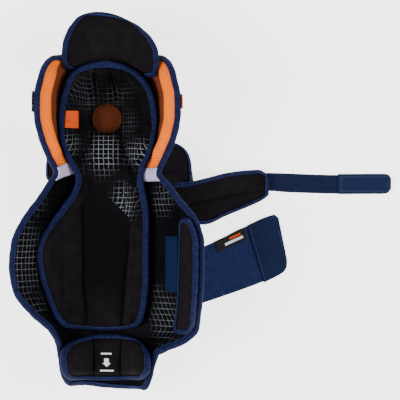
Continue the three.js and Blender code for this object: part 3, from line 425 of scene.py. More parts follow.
def unit(vectors):
    return vectors / np.maximum(np.linalg.norm(vectors, axis=-1, keepdims=True), 1e-9)


def loops_in(rows, columns):
    """How many loops in from the edge each place of a grid lies."""
    j, i = (np.minimum(np.arange(count), np.arange(count)[::-1]) for count in (rows, columns))
    return np.minimum(j[:, None], i)


def round_corners(x, y, rounds, span=7, loops=12):
    """Rounds a grid's four corners in plan, one loop of places after another from the edge inwards."""
    x, y = x.copy(), y.copy()
    rows, columns = x.shape
    for m in range(min(loops, min(x.shape) // 2 - 1)):
        j, i = ring_places(rows - 2 * m, columns - 2 * m)
        steps = np.minimum(j, rows - 1 - 2 * m - j) + np.minimum(i, columns - 1 - 2 * m - i)
        give = 0.6 * np.clip(1 - steps / span, 0, 1)[:, None] ** 0.5
        places = np.stack([x[j + m, i + m], y[j + m, i + m]], axis=1)
        fade = min(1.0, 1.0 - (m - 3) / (loops - 3))
        for _ in range(round(rounds * fade)):
            places += give * ((np.roll(places, 1, axis=0) + np.roll(places, -1, axis=0)) / 2 - places)
        x[j + m, i + m], y[j + m, i + m] = places.T
    return x, y


def lay(points):
    """A sheet's base: its points, normals and the cloth's own millimetres across and along."""
    across, along = np.gradient(points, axis=1), np.gradient(points, axis=0)
    steps = np.linalg.norm(np.diff(points, axis=1), axis=2)
    u = np.pad(np.cumsum(steps, axis=1), ((0, 0), (1, 0)))
    rises = np.linalg.norm(np.diff(points, axis=0), axis=2)
    v = np.pad(np.cumsum(rises, axis=0), ((1, 0), (0, 0)))
    middle = points.shape[1] // 2
    return {
        "base": points,
        "normal": unit(np.cross(across, along)),
        "cloth": np.stack([u - u[:, middle:middle + 1], v, np.zeros_like(u)], axis=2),
    }


def to_bind(points):
    """A sheet whose places know their loop in from the edge, so that it leaves room for its binding."""
    return {**lay(points), "loop": loops_in(*points.shape[:2])}


def on_field(x, y, height, rounds=14):
    """A bound sheet over a height field, which also gives its normals."""
    x, y = round_corners(x, y, rounds)
    sheet = to_bind(np.stack([x, y, height(x, y)], axis=2))
    step = 0.5
    slope_x = (height(x + step, y) - height(x - step, y)) / (2 * step)
    slope_y = (height(x, y + step) - height(x, y - step)) / (2 * step)
    sheet["normal"] = unit(np.stack([-slope_x, -slope_y, np.ones(x.shape)], axis=2))
    return sheet


def crumple(points, size, seed=0):
    """Smooth noise from -1 to 1 at each point, with features of about that size."""
    flat = points.reshape(-1, 3) / size + 31.7 * (seed + 1)
    return np.array([noise.noise(Vector(p)) for p in flat]).reshape(points.shape[:-1])


def to_line(x, y, line):
    """The distance in plan from each point to a polyline."""
    best = np.full(x.shape, 1e9)
    for (ax, ay), (bx, by) in zip(line, line[1:]):
        dx, dy = bx - ax, by - ay
        t = np.clip(((x - ax) * dx + (y - ay) * dy) / (dx * dx + dy * dy), 0, 1)
        best = np.minimum(best, np.hypot(x - ax - t * dx, y - ay - t * dy))
    return best


def groove(distance, depth, half):
    """How far a sewn groove sinks at a distance from its line: a sharp line between two pillows."""
    return depth * np.exp(-np.abs(distance) / half * 1.4)


# ---------------------------------------------------------------- meshes

def in_frame(points):
    return (points.reshape(-1, 3) - [MIDDLE[0], MIDDLE[1], 0]) / 1000


def add_piece(name, points, faces, material, nodes, cloth, masks=None):
    """A mesh object that rides on the guard and stands for CAD nodes."""
    used, faces = np.unique(faces, return_inverse=True)
    faces = faces.reshape(-1, 4)
    points = points.reshape(-1, 3)[used]
    masks = {key: values.ravel()[used] for key, values in (masks or {}).items()}
    mesh = bpy.data.meshes.new(name)
    mesh.from_pydata(in_frame(points).tolist(), [], faces.tolist())
    mesh.polygons.foreach_set("use_smooth", np.ones(len(mesh.polygons), bool))
    field = mesh.attributes.new("cloth", "FLOAT_VECTOR", "POINT")
    field.data.foreach_set("vector", cloth.reshape(-1, 3)[used].astype(np.float32).ravel())
    for key, values in masks.items():
        field = mesh.attributes.new(key, "FLOAT", "POINT")
        field.data.foreach_set("value", values.astype(np.float32).ravel())
    mesh.materials.append(material)
    mesh.validate()
    piece = bpy.data.objects.new(name, mesh)
    bpy.context.scene.collection.objects.link(piece)
    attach(piece, "root")
    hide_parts(*nodes)
    return piece


def ring_places(rows, columns):
    """Rows and columns of the edge places, anticlockwise seen from above."""
    top, side = rows - 1, columns - 1
    j = np.concatenate([np.zeros(side), np.arange(top), np.full(side, top), np.arange(top, 0, -1)])
    i = np.concatenate([np.arange(side), np.full(top, side), np.arange(side, 0, -1), np.zeros(top)])
    return j.astype(int), i.astype(int)


def sheet_faces(rows, columns, keep=None):
    """Quads of both faces of a sheet and of the wall round them. keep leaves cells out."""
    index = np.arange(rows * columns).reshape(rows, columns)
    cells = np.stack([index[:-1, :-1], index[:-1, 1:], index[1:, 1:], index[1:, :-1]], axis=2)
    if keep is None:
        keep = np.ones(cells.shape[:2], bool)
    over = cells[keep]
    under = over[:, ::-1] + rows * columns
    # A wall stands on each side of a kept cell that no other kept cell shares.
    sides = np.concatenate([over[:, [k, (k + 1) % 4]] for k in range(4)])
    low = sides.min(axis=1).astype(np.int64) * rows * columns + sides.max(axis=1)
    _, where, count = np.unique(low, return_index=True, return_counts=True)
    a, b = sides[where[count == 1]].T
    wall = np.stack([b, a, a + rows * columns, b + rows * columns], axis=1)
    return np.concatenate([over, under, wall])


def add_sheet(name, sheet, over, under, material, nodes, keep=None, masks=None):
    """A closed sheet: over and under are distances off its base along the normal.

    A sheet with a binding is drawn in and thinned along its edge, where the tape covers it.
    """
    raised = sheet["base"] + sheet["normal"] * np.broadcast_to(over, sheet["base"].shape[:2])[..., None]
    lowered = sheet["base"] - sheet["normal"] * np.broadcast_to(under, sheet["base"].shape[:2])[..., None]
    sheet["over"], sheet["under"] = raised, lowered
    rows, columns = raised.shape[:2]
    if "loop" in sheet:
        thin = np.array([0.3, 0.5, 0.88, 1.0])[np.minimum(sheet["loop"], 3)][..., None]
        middle = (raised + lowered) / 2
        raised, lowered = middle + (raised - middle) * thin, middle + (lowered - middle) * thin
        edge = sheet["loop"] == 0
        inner = ~(edge[:-1, :-1] | edge[1:, :-1] | edge[:-1, 1:] | edge[1:, 1:])
        keep = inner if keep is None else keep & inner
    points = np.concatenate([raised.reshape(-1, 3), lowered.reshape(-1, 3)])
    cloth = np.concatenate([sheet["cloth"].reshape(-1, 3)] * 2)
    doubled = {key: np.concatenate([value.ravel()] * 2) for key, value in (masks or {}).items()}
    doubled["face"] = np.repeat([1.0, 0.0], rows * columns)
    return add_piece(name, points, sheet_faces(rows, columns, keep), material, nodes, cloth, doubled)


def add_binding(name, sheet, nodes, seed=0, last=2.5):
    """A rounded tape folded over a sheet's whole edge, puckered a little by its stitching.

    It reaches in from the edge by that many of the sheet's lines.
    """
    rows, columns = sheet["over"].shape[:2]
    j, i = ring_places(rows, columns)
    lines = [(np.clip(j, m, rows - 1 - m), np.clip(i, m, columns - 1 - m)) for m in range(4)]
    over, under = (np.stack([sheet[face][line] for line in lines], axis=1) for face in ("over", "under"))
    mid, lean, half = (over + under) / 2, unit(over - under), np.linalg.norm(over - under, axis=2) / 2
    # At the edge the lean of the line inside is used, which is steadier.
    lean[:, 0] = lean[:, 1]

    def at(share, values):
        spot = np.clip(share * 3, 0, 3)
        low = np.minimum(spot.astype(int), 2)
        t = spot - low
        k = np.arange(len(j))
        if values.ndim == 3:
            t = t[:, None]
        return values[k, low] * (1 - t) + values[k, low + 1] * t

    run = np.concatenate([[0], np.cumsum(np.linalg.norm(np.diff(mid[:, 0], axis=0), axis=1))])
    pucker = 0.22 * np.sin(run / 2.9 + 2 * crumple(mid[:, :1], 30, seed)[:, 0])
    pucker += 0.3 * crumple(mid[:, :1], 11, seed + 5)[:, 0]
    sections, marks = [], []
    for wall, turns in ((0, np.linspace(0, math.pi, 13)), (TAPE_WALL, np.linspace(math.pi, 0, 7))):
        reach = half[:, 0] + TAPE_COVER - wall
        round_share = np.clip(reach / TAPE_WIDTH, 0, 0.92)
        lips = [(1.0, 0.25), (0.97, 0.8), (0.86, 1.0)] if wall == 0 else [(1.0, 0.2)]
        lips = [(share * last / 3, cover) for share, cover in lips]
        profile = [("lip", share, cover, 1) for share, cover in lips]
        profile += [("turn", turn, 1.0, 1) for turn in turns]
        profile += [("lip", share, cover, -1) for share, cover in reversed(lips)]
        if wall:
            profile = [(kind, spot, cover, -side) for kind, spot, cover, side in profile]
        for kind, spot, cover, side in profile:
            if kind == "lip":
                share = np.full(len(j), spot)
                off = side * (at(share, half) + (TAPE_COVER - wall) * cover)
            else:
                share = round_share * (1 - math.sin(spot)) + wall / TAPE_WIDTH * math.sin(spot)
                off = math.cos(spot) * (at(share, half) + TAPE_COVER - wall)
            if wall == 0 and cover == 1.0:
                off = off * (1 + pucker * 0.25)
            sections.append(at(share, mid) + at(share, lean) * off[:, None])
            marks.append(share * TAPE_WIDTH)
    points = np.stack(sections, axis=1)
    count, size = points.shape[:2]
    index = np.arange(count * size).reshape(count, size)
    after, beside = np.roll(index, -1, axis=0), np.roll(index, -1, axis=1)
    faces = np.stack([index, beside, np.roll(after, -1, axis=1), after], axis=2).reshape(-1, 4)
    # The lip's own distance from the edge and the run along it place the stitches.
    cloth = np.stack(np.broadcast_arrays(run[:, None], np.stack(marks, axis=1), 0.0), axis=2)
    add_piece(name, points, faces, MATERIALS["tape"], nodes, cloth)


# ---------------------------------------------------------------- materials

def tone(red, green, blue):
    """A colour from its sRGB values out of 255."""
    return tuple(np.where(c <= 0.04045, c / 12.92, ((c + 0.055) / 1.055) ** 2.4) for c in (
        red / 255, green / 255, blue / 255)) + (1.0,)


class Shader:
    """A material's nodes, added one after another."""

    def __init__(self, name, colour, rough, sheen=0.0, sheen_tint=(1, 1, 1, 1), specular=0.3):
        self.material = bpy.data.materials.new(name)
        self.material.use_nodes = True
        self.tree = self.material.node_tree
        self.bsdf = self.tree.nodes["Principled BSDF"]
        self.bsdf.inputs["Base Color"].default_value = [float(c) for c in colour]
        self.bsdf.inputs["Roughness"].default_value = rough
        self.bsdf.inputs["Sheen Weight"].default_value = sheen
        self.bsdf.inputs["Sheen Roughness"].default_value = 0.5
        self.bsdf.inputs["Sheen Tint"].default_value = sheen_tint
        self.bsdf.inputs["Specular IOR Level"].default_value = specular
        self.colour = [float(c) for c in colour]

    def add(self, kind, inputs, output=0, **settings):
        node = self.tree.nodes.new(kind)
        for key, value in settings.items():
            setattr(node, key, value)
        for key, value in inputs.items():
            if isinstance(value, bpy.types.NodeSocket):
                self.tree.links.new(value, node.inputs[key])
            else:
                node.inputs[key].default_value = value
        return node.outputs[output]

    def math(self, operation, a, b=0.0):
        return self.add("ShaderNodeMath", {0: a, 1: b}, operation=operation)

    def times(self, a, b):
        return self.math("MULTIPLY", a, b)

    def field(self, name):
        return self.add("ShaderNodeAttribute", {}, output="Fac", attribute_name=name)

    def cloth(self):
        vector = self.add("ShaderNodeAttribute", {}, output="Vector", attribute_name="cloth")
        split = self.tree.nodes.new("ShaderNodeSeparateXYZ")
        self.tree.links.new(vector, split.inputs[0])
        return split.outputs[0], split.outputs[1], vector

    def noise(self, vector, scale, detail=3.0, rough=0.55):
        return self.add(
            "ShaderNodeTexNoise", {"Vector": vector, "Scale": scale, "Detail": detail, "Roughness": rough})

    def ramp(self, value, low, high, to_low=0.0, to_high=1.0):
        return self.add("ShaderNodeMapRange", {
            "Value": value, "From Min": low, "From Max": high, "To Min": to_low, "To Max": to_high,
        }, interpolation_type="SMOOTHSTEP")

    def ridges(self, coordinate, pitch):
        """0 in the valleys and 1 on the crests of ridges a pitch apart."""
        return self.math("DIVIDE", self.math("PINGPONG", coordinate, pitch / 2), pitch / 2)

    def line(self, coordinate, pitch, width):
        """1 on fine lines a pitch apart."""
        return self.ramp(self.math("PINGPONG", coordinate, pitch / 2), width * 0.3, width * 0.7, 1.0, 0.0)

    def band(self, coordinate, middle, half, soft=0.15):
        """1 within a band round a middle."""
        off = self.math("ABSOLUTE", self.math("SUBTRACT", coordinate, middle))
        return self.ramp(off, half - soft, half + soft, 1.0, 0.0)

    def mix(self, share, a, b):
        return self.add("ShaderNodeMix", {0: share, 6: a, 7: b}, output=2, data_type="RGBA")

    def tint(self, share, factor):
        """The base colour, darkened or lightened where share is high."""
        other = [min(1.0, c * factor) for c in self.colour[:3]] + [1.0]
        return self.mix(share, self.colour, other)

    def finish(self, colour=None, rough=None, heights=()):
        """Joins the colour, the roughness and bumps of (height, millimetres)."""
        if colour is not None:
            self.tree.links.new(colour, self.bsdf.inputs["Base Color"])
        if rough is not None:
            self.tree.links.new(rough, self.bsdf.inputs["Roughness"])
        normal = None
        for height, depth in heights:
            inputs = {"Height": height, "Distance": depth / 1000, "Strength": 1.0}
            if normal is not None:
                inputs["Normal"] = normal
            normal = self.add("ShaderNodeBump", inputs)
        if normal is not None:
            self.tree.links.new(normal, self.bsdf.inputs["Normal"])
        return self.material


BLACK_PRINT = tone(2, 2, 4)
# Painted shade: the darker colour of the liner's sunken channel down the shin.
CHANNEL_SHADE = tone(9, 8, 11)
NAP_LOW = tone(14, 12, 14)
NAP_HIGH = tone(24, 21, 24)
# Painted shade laid into the floors of sewn grooves and creases.
GROOVE_SHADE = tone(2, 2, 3)
BLACK_BACK = tone(16, 16, 18)
PRINT_GREY = tone(128, 132, 138)
ORANGE = tone(240, 108, 4)
# Painted shade deep inside the knee cup.
CUP_SHADE = tone(76, 39, 27)
NAVY_TAPE = tone(12, 16, 42)
NAVY_ELASTIC = tone(23, 31, 65)
NAVY_NARROW = tone(15, 20, 43)
NAVY_HOOK = tone(16, 24, 50)
NAVY_LOOP = tone(12, 22, 50)
THREAD = tone(52, 68, 112)
RIB_GREY = tone(204, 192, 230)
SHELL_PALE = tone(184, 188, 195)
LABEL_DARK = tone(18, 19, 18)
LABEL_ORANGE = tone(190, 68, 0)
WHITE_PRINT = tone(225, 226, 228)
BLUSH = tone(190, 170, 176)  # the brushed nap, seen at a slant
FLOOR_PALE = tone(250, 250, 250)
FLOOR_GLOW = 2.2


def printed_grid(shader, u, v, vector, pitch, width):
    """Fine crossing lines, broken up a little as a print on stretched cloth is."""
    drift = shader.times(shader.math("SUBTRACT", shader.noise(vector, 0.015, 1.0), 0.5), 1.2)
    across = shader.line(shader.math("ADD", u, drift), pitch, width)
    along = shader.line(shader.math("SUBTRACT", v, drift), pitch, width)
    worn = shader.ramp(shader.noise(vector, 0.3, 2.0), 0.32, 0.5)
    return shader.times(shader.math("MAXIMUM", across, along), worn)


def knit_height(shader, u, v, vector, pitch):
    crossing = shader.times(shader.ridges(u, pitch), shader.ridges(v, pitch * 0.8))
    return shader.math("ADD", crossing, shader.noise(vector, 1.6, 2.0))


def brushed_nap(shader, vector):
    """How the nap of brushed cloth lies, in large soft patches and in single fibres."""
    nap = shader.ramp(shader.noise(vector, 0.06, 4.0, 0.6), 0.32, 0.7)
    fibre = shader.ramp(shader.noise(vector, 1.8, 3.0, 0.7), 0.35, 0.75)
    return shader.math("ADD", shader.times(nap, 0.65), shader.times(fibre, 0.35)), fibre


def body_cloth():
    """Black printed cloth inside, plain black knit outside."""
    shader = Shader("printed_cloth", BLACK_PRINT, 0.45, 0.0, specular=0.05)
    u, v, vector = shader.cloth()
    grid = printed_grid(shader, u, v, vector, 7.6, 0.7)
    strength = shader.times(grid, shader.field("print"))
    sheen = shader.ramp(shader.noise(vector, 0.06, 3.0), 0.3, 0.75)
    base = shader.tint(sheen, 1.7)
    base = shader.mix(shader.times(shader.field("face"), strength), base, PRINT_GREY)
    outside = shader.mix(shader.field("face"), BLACK_BACK, base)
    knit = knit_height(shader, u, v, vector, 1.1)
    return shader.finish(outside, shader.ramp(sheen, 0, 1, 0.55, 0.72), [(knit, 0.12)])


def liner_cloth():
    """Printed cloth round the knee and brushed cloth down the shin, either side of a seam."""
    shader = Shader("liner_cloth", BLACK_PRINT, 0.8, 0.015, BLUSH, 0.04)
    u, v, vector = shader.cloth()
    brushed = shader.ramp(shader.field("brushed"), -0.4, 0.4)
    grid = printed_grid(shader, u, v, vector, 6.4, 0.7)
    strength = shader.times(grid, shader.field("print"))
    cloud = shader.ramp(shader.noise(vector, 0.05, 3.0), 0.35, 0.7)
    printed = shader.mix(strength, shader.tint(cloud, 1.6), PRINT_GREY)
    fluff, fibre = brushed_nap(shader, vector)
    brushed_base = shader.mix(fluff, NAP_LOW, NAP_HIGH)
    # Painted shade: the sunken channel between the deep grooves is darkened.
    brushed_base = shader.mix(shader.field("channel"), brushed_base, CHANNEL_SHADE)
    colour = shader.mix(brushed, printed, brushed_base)
    # Painted shade: the grooves and knee creases are darkened where the sunk mask is high.
    colour = shader.mix(shader.field("sunk"), colour, GROOVE_SHADE)
    rough = shader.ramp(brushed, 0, 1, 0.55, 0.95)
    return shader.finish(colour, rough, [(knit_height(shader, u, v, vector, 1.0), 0.1), (fibre, 0.12)])


def brushed_cloth(name, panel=False):
    """Brushed black knit. With panel, its middle carries a plain printed arrow between two bars."""
    shader = Shader(name, NAP_LOW, 0.95, 0.03, BLUSH, 0.04)
    u, v, vector = shader.cloth()
    fluff, fibre = brushed_nap(shader, vector)
    colour = shader.mix(fluff, NAP_LOW, NAP_HIGH)
    # Painted shade: the sewn grooves are darkened where the sunk mask is high.
    colour = shader.mix(shader.field("sunk"), colour, GROOVE_SHADE)
    if panel:
        inside = shader.times(shader.field("mark"), shader.field("face"))
        wedge = shader.math("SUBTRACT", shader.times(shader.math("SUBTRACT", v, 19.0), 1.1),
                            shader.math("ABSOLUTE", u))
        arrow = shader.times(shader.ramp(wedge, -0.2, 0.2), shader.band(v, 21.5, 2.5))
        stem = shader.times(shader.band(u, 0.0, 3.0), shader.band(v, 27.0, 3.2))
        bars = [shader.times(shader.band(u, 0.0, half), shader.band(v, at, 1.0))
                for half, at in ((9.0, 14.0), (7.0, 36.5))]
        shape = arrow
        for part in [stem, *bars]:
            shape = shader.math("MAXIMUM", shape, part)
        colour = shader.mix(shader.times(shape, inside), colour, WHITE_PRINT)
    return shader.finish(colour, None, [(knit_height(shader, u, v, vector, 1.0), 0.08), (fibre, 0.14)])


def tape_cloth():
    """Binding tape: fine ribs across it and a row of stitches near its lip."""
    shader = Shader("binding_tape", NAVY_TAPE, 0.65, 0.02, tone(70, 100, 200), 0.06)
    run, off, vector = shader.cloth()
    ribs = shader.ridges(run, 0.9)
    worn = shader.ramp(shader.noise(vector, 0.12, 4.0), 0.3, 0.75)
    across = shader.add("ShaderNodeMapping", {"Vector": vector, "Scale": (1.0, 0.3, 1.0)})
    wrinkle = shader.ramp(shader.noise(across, 0.33, 3.0, 0.6), 0.3, 0.7)
    stitch = shader.times(shader.band(off, 4.3, 0.5), shader.ramp(
        shader.math("PINGPONG", run, 2.2), 0.8, 1.1))
    # The crests of the wrinkles are painted lighter, a painted highlight; worn adds random wear on top.
    shade = shader.times(shader.math("ADD", worn, wrinkle), 0.5)
    colour = shader.tint(shade, 2.6)
    colour = shader.mix(shader.times(stitch, 0.7), colour, THREAD)
    height = shader.math("ADD", shader.times(ribs, 0.5), shader.noise(vector, 1.2, 2.0))
    return shader.finish(colour, None, [(wrinkle, 0.9), (height, 0.12), (stitch, 0.25)])


def mesh_lining():
    """Orange ribbed spacer mesh."""
    shader = Shader("orange_lining", ORANGE, 0.85, 0.0, specular=0.08)
    u, v, vector = shader.cloth()
    ribs = shader.ridges(v, 3.1)
    holes = shader.times(ribs, shader.ridges(shader.math("ADD", u, shader.times(v, 0.5)), 2.3))
    worn = shader.ramp(shader.noise(vector, 0.07, 4.0), 0.3, 0.75)
    # Painted shade: the mesh's holes and rib valleys are a little darker.
    colour = shader.mix(shader.ramp(holes, 0.02, 0.4), tone(224, 100, 4), shader.tint(worn, 1.12))
    # Painted shade: the lining darkens toward the depth of the cup.
    colour = shader.mix(shader.times(shader.field("deep"), 0.95), colour, CUP_SHADE)
    outside = shader.mix(shader.field("face"), BLACK_BACK, colour)
    return shader.finish(outside, None, [(holes, 0.25)])


def rib_elastic():
    shader = Shader("rib_elastic", RIB_GREY, 0.75, 0.05, specular=0.2)
    u, v, vector = shader.cloth()
    ribs = shader.ridges(u, 2.3)
    # Painted shade: the valleys between the ribs are darker.
    colour = shader.mix(shader.ramp(ribs, 0.05, 0.6), tone(120, 114, 134), RIB_GREY)
    colour = shader.mix(shader.times(shader.line(v, 4.0, 0.7), 0.12), colour, tone(120, 112, 140))
    return shader.finish(colour, None, [(ribs, 0.5)])


def woven_elastic(name, colour):
    """Elastic webbing: ribs along it, a fine weave across and a line of stitches at its hem."""
    shader = Shader(name, colour, 0.85, 0.015, tone(70, 100, 200), 0.08)
    u, v, vector = shader.cloth()
    ribs = shader.ridges(u, 1.5)
    weave = shader.times(shader.ridges(v, 1.1), ribs)
    worn = shader.ramp(shader.noise(vector, 0.1, 5.0, 0.65), 0.3, 0.75)
    base = shader.tint(worn, 1.4)
    fleck = shader.ramp(shader.noise(vector, 0.4, 4.0, 0.8), 0.45, 0.68)
    base = shader.mix(shader.times(fleck, 0.5), base, [min(1, c * 2.2) for c in colour[:3]] + [1.0])
    edge = shader.times(shader.field("hem"), shader.ramp(shader.math("PINGPONG", v, 1.3), 0.3, 0.6))
    base = shader.mix(shader.times(edge, 0.5), base, THREAD)
    return shader.finish(base, None, [(shader.math("ADD", weave, fleck), 0.22), (edge, 0.2)])


def hook_tape():
    shader = Shader("hook_tape", NAVY_HOOK, 0.8, 0.01, tone(70, 100, 200), 0.08)
    u, v, vector = shader.cloth()
    hooks = shader.times(shader.ridges(u, 1.3), shader.ridges(v, 1.3))
    worn = shader.ramp(shader.noise(vector, 0.12, 5.0, 0.65), 0.3, 0.75)
    run = shader.math("ADD", u, v)
    dashes = shader.times(shader.field("hem"), shader.ramp(
        shader.math("PINGPONG", run, 1.5), 0.35, 0.6))
    colour = shader.mix(shader.times(dashes, 0.5), shader.tint(worn, 1.35), THREAD)
    return shader.finish(colour, None, [(hooks, 0.25), (dashes, 0.3)])


def loop_pile():
    shader = Shader("loop_pile", NAVY_LOOP, 0.95, 0.04, tone(90, 120, 200), 0.05)
    u, v, vector = shader.cloth()
    pile = shader.noise(vector, 1.4, 5.0, 0.75)
    worn = shader.ramp(shader.noise(vector, 0.15, 3.0), 0.35, 0.7)
    tips = [c * 1.7 for c in NAVY_LOOP[:3]] + [1.0]
    # Painted highlight: the pile's raised tips are lighter.
    colour = shader.mix(shader.ramp(pile, 0.35, 0.7), shader.tint(worn, 0.8), tips)
    return shader.finish(colour, None, [(pile, 0.6)])


def shell_plastic():
    shader = Shader("shell_plastic", SHELL_PALE, 0.36, 0.0, specular=0.5)
    vector = shader.add("ShaderNodeTexCoord", {}, output="Object")
    scuff = shader.ramp(shader.noise(vector, 24.0, 6.0, 0.7), 0.5, 0.72)
    grain = shader.noise(vector, 900.0, 2.0)
    colour = shader.tint(scuff, 0.93)
    return shader.finish(colour, shader.ramp(scuff, 0, 1, 0.3, 0.5), [(grain, 0.03)])


def label_cloth(name, colour, marks=()):
    """A woven label. marks are generic bars: middle u and v, half lengths and a colour."""
    shader = Shader(name, colour, 0.6, 0.0, specular=0.15)
    u, v, vector = shader.cloth()
    weave = shader.times(shader.ridges(u, 0.7), shader.ridges(v, 0.7))
    base = shader.tint(shader.noise(vector, 0.5, 3.0), 1.3)
    for mid_u, mid_v, half_u, half_v, shade in marks:
        bar = shader.times(shader.band(u, mid_u, half_u, 0.2), shader.band(v, mid_v, half_v, 0.2))
        base = shader.mix(shader.times(bar, shader.field("face")), base, shade)
    return shader.finish(base, None, [(weave, 0.12)])


MATERIALS = {
    "print": body_cloth(),
    "liner": liner_cloth(),
    "brushed": brushed_cloth("brushed_cloth"),
    "panel": brushed_cloth("brushed_cloth_panel", panel=True),
    "tape": tape_cloth(),
    "lining": mesh_lining(),
    "rib": rib_elastic(),
    "elastic": woven_elastic("woven_elastic", NAVY_ELASTIC),
    "narrow": woven_elastic("narrow_elastic", NAVY_NARROW),
    "hook": hook_tape(),
    "loop": loop_pile(),
    "shell": shell_plastic(),
    "bright": label_cloth("orange_label", LABEL_ORANGE),
    "strap_label": label_cloth("strap_label", LABEL_DARK, [
        (-2.6, 29.0, 1.5, 8.0, LABEL_ORANGE), (2.4, 26.0, 1.7, 13.0, WHITE_PRINT)]),
    "knee_label": label_cloth("knee_label", LABEL_DARK, [
        (0.0, 8.0, 3.0, 2.2, WHITE_PRINT), (0.0, 18.0, 3.0, 3.0, LABEL_ORANGE)]),
}


# ---------------------------------------------------------------- the pieces

def print_mask(x, y, patches):
    """How strongly the printed grid shows at each place."""
    mask = np.zeros(x.shape)
    for at_x, at_y, half_x, half_y, strength in patches:
        spread = ((x - at_x) / half_x) ** 2 + ((y - at_y) / half_y) ** 2
        mask = np.maximum(mask, strength * np.exp(-0.9 * spread ** 1.5))
    return mask


def body_sheet():
    shares = shares_along(BODY_LENGTH, BODY_STEP)
    y = shares * BODY_LENGTH
    reach = [body_reach(np.full(shares.shape, side), shares) for side in (-1, 1)]
    inset = [tape_inset(
        lambda share, side=side: side * body_reach(np.full(share.shape, side), np.clip(share, 0, 1)),
        shares, BODY_LENGTH, body_height, y) for side in (-1, 1)]
    x = places_across(-reach[0], reach[1], inset, 100)
    skew = BOTTOM_SKEW * np.clip(1 - shares / SKEW_END, 0, 1)[:, None]
    side = sideways(x)
    bow = column(BODY_ROWS, "bow", shares)[:, None] * side ** 2 * BODY_LENGTH
    rows_y = y[:, None] - skew * np.clip(x / (FRONT_FLAT + RIDGE_RAMP), -1, 1) - bow
    # The neck's elastic is sewn in higher on the inner side.
    at_neck = np.exp(-((shares - (NECK_START + NECK_END) / 2) / 0.05) ** 2)[:, None]
    rows_y = rows_y + NECK_RISE * at_neck * np.where(side < 0, 4 * side * (-1 - side), 0)
    sheet = on_field(x, rows_y, body_height, 6)
    sheet["cloth"][..., 1] = rows_y
    return shares, sheet


def part_of(sheet, rows):
    return {key: value[rows] for key, value in sheet.items()}


def add_body():
    shares, sheet = body_sheet()
    x, y = sheet["base"][..., 0], sheet["base"][..., 1]
    start, end = (int(np.argmin(np.abs(shares - share))) for share in (NECK_START, NECK_END))
    # How far in from the rim a place lies, along the cloth.
    u = sheet["cloth"][..., 0]
    inward = np.minimum(u - u[:, :1], u[:, -1:] - u)
    cup = smooth(shares, 0.665, 0.72)[:, None] * (1 - smooth(shares, 0.93, 0.99))[:, None]
    roll_share = np.clip((inward - TAPE_WIDTH) / CUP_ROLL_WIDTH, 0, 1)
    roll = CUP_ROLL * cup * np.sin(math.pi * roll_share ** 0.62)
    # Painted shade: further than this into the cup, the lining is painted darker.
    deep = smooth(inward, 19, 28)
    wave = 0.65 * crumple(sheet["base"], 34) + 0.3 * crumple(sheet["base"], 13, 3)
    inner = smooth(inward, TAPE_WIDTH, TAPE_WIDTH + 12)
    # Toward the rim the foam is pressed thinner.
    pressed = BODY_PRESSED * (1 - smooth(inward, 2, 24))
    over = roll + wave * inner - pressed
    seam = groove((shares[:, None] - NECK_END) * BODY_LENGTH, 1.0, 2.5)
    under = BODY_WALL + 0.5 * crumple(sheet["base"], 40, 7) * inner
    printed = print_mask(x, y, BODY_PRINT)
    piece = add_sheet("shin_padding_cloth", part_of(sheet, slice(0, start + 1)), over[:start + 1],
                      under[:start + 1], MATERIALS["print"], ["shin_padding"],
                      masks={"print": printed[:start + 1]})
    band = part_of(sheet, slice(start, end + 1))
    gathers = 0.5 * np.sin(band["cloth"][..., 0] / 0.75) * inner[start:end + 1]
    add_sheet("neck_elastic_band", band, gathers - 0.4, NECK_WALL - 0.4 + gathers * 0.5,
              MATERIALS["rib"], ["neck_elastic"])
    piece = add_sheet("knee_cup_lining", part_of(sheet, slice(end, None)), over[end:] - seam[end:], under[end:],
                      MATERIALS["lining"], ["knee_lining"], masks={"deep": deep[end:]})
    sheet["over"] = sheet["base"] - sheet["normal"] * pressed[..., None]
    sheet["under"] = sheet["base"] - sheet["normal"] * BODY_WALL
    add_binding("body_edge_binding", sheet, ["body_binding"], seed=1, last=2.4)
    return shares, sheet


def add_shell(name, node, shares, sheet, span):
    """A hard shell under the body, with a raised ridge, two flutes beside it and a rolled edge."""
    first, last = (int(np.argmin(np.abs(shares - share))) for share in span)
    rows = slice(first, last + 1)
    x, under = sheet["base"][rows, :, 0], sheet["under"][rows]
    bare = FRONT_FLAT + RIDGE_RAMP
    # The shell ends part way up each side, where the CAD shell does.
    left = -(bare + (-x[:, 3:4] - bare) * SHELL_CLIMB)
    right = bare + (x[:, -4:-3] - bare) * SHELL_CLIMB
    across = left + (right - left) * np.linspace(0, 1, 91)
    skin = lay(np.stack([np.stack([
        np.interp(across[k], x[k], under[k, :, axis]) for axis in range(3)
    ], axis=1) for k in range(len(x))]))
    base_x = np.abs(across)
    ridge = RIDGE_HEIGHT * (1 - smooth(base_x, FRONT_FLAT + 1, bare - 1))
    count = np.arange(len(x))
    from_end = np.minimum(count, count[::-1])[:, None] * BODY_STEP
    rim = np.minimum(from_end, np.minimum(across - left, right - across))
    edge = rounded(rim / SHELL_WALL)
    bead = 0.9 * np.exp(-((rim - 5.0) / 1.8) ** 2)
    flute = 1.1 * np.exp(-((base_x - (bare + 9)) / 3.0) ** 2) * smooth(from_end, 12, 30)
    outer = SEAT_GAP + SHELL_WALL * (0.35 + 0.65 * edge) + ridge * smooth(from_end, 0, 10) + bead - flute
    add_sheet(name, skin, -SEAT_GAP, outer, MATERIALS["shell"], [node])


def pillow(x, rise):
    """A pad's thickness factor near its edge: flat under the binding, then swelling."""
    return rounded((loops_in(*x.shape) - 3) / rise)


def places_of(cells):
    """True at each corner of these cells of a grid."""
    rows, columns = cells.shape
    places = np.zeros((rows + 1, columns + 1), bool)
    for j, i in ((0, 0), (0, 1), (1, 0), (1, 1)):
        places[j:j + rows, i:i + columns] |= cells
    return places


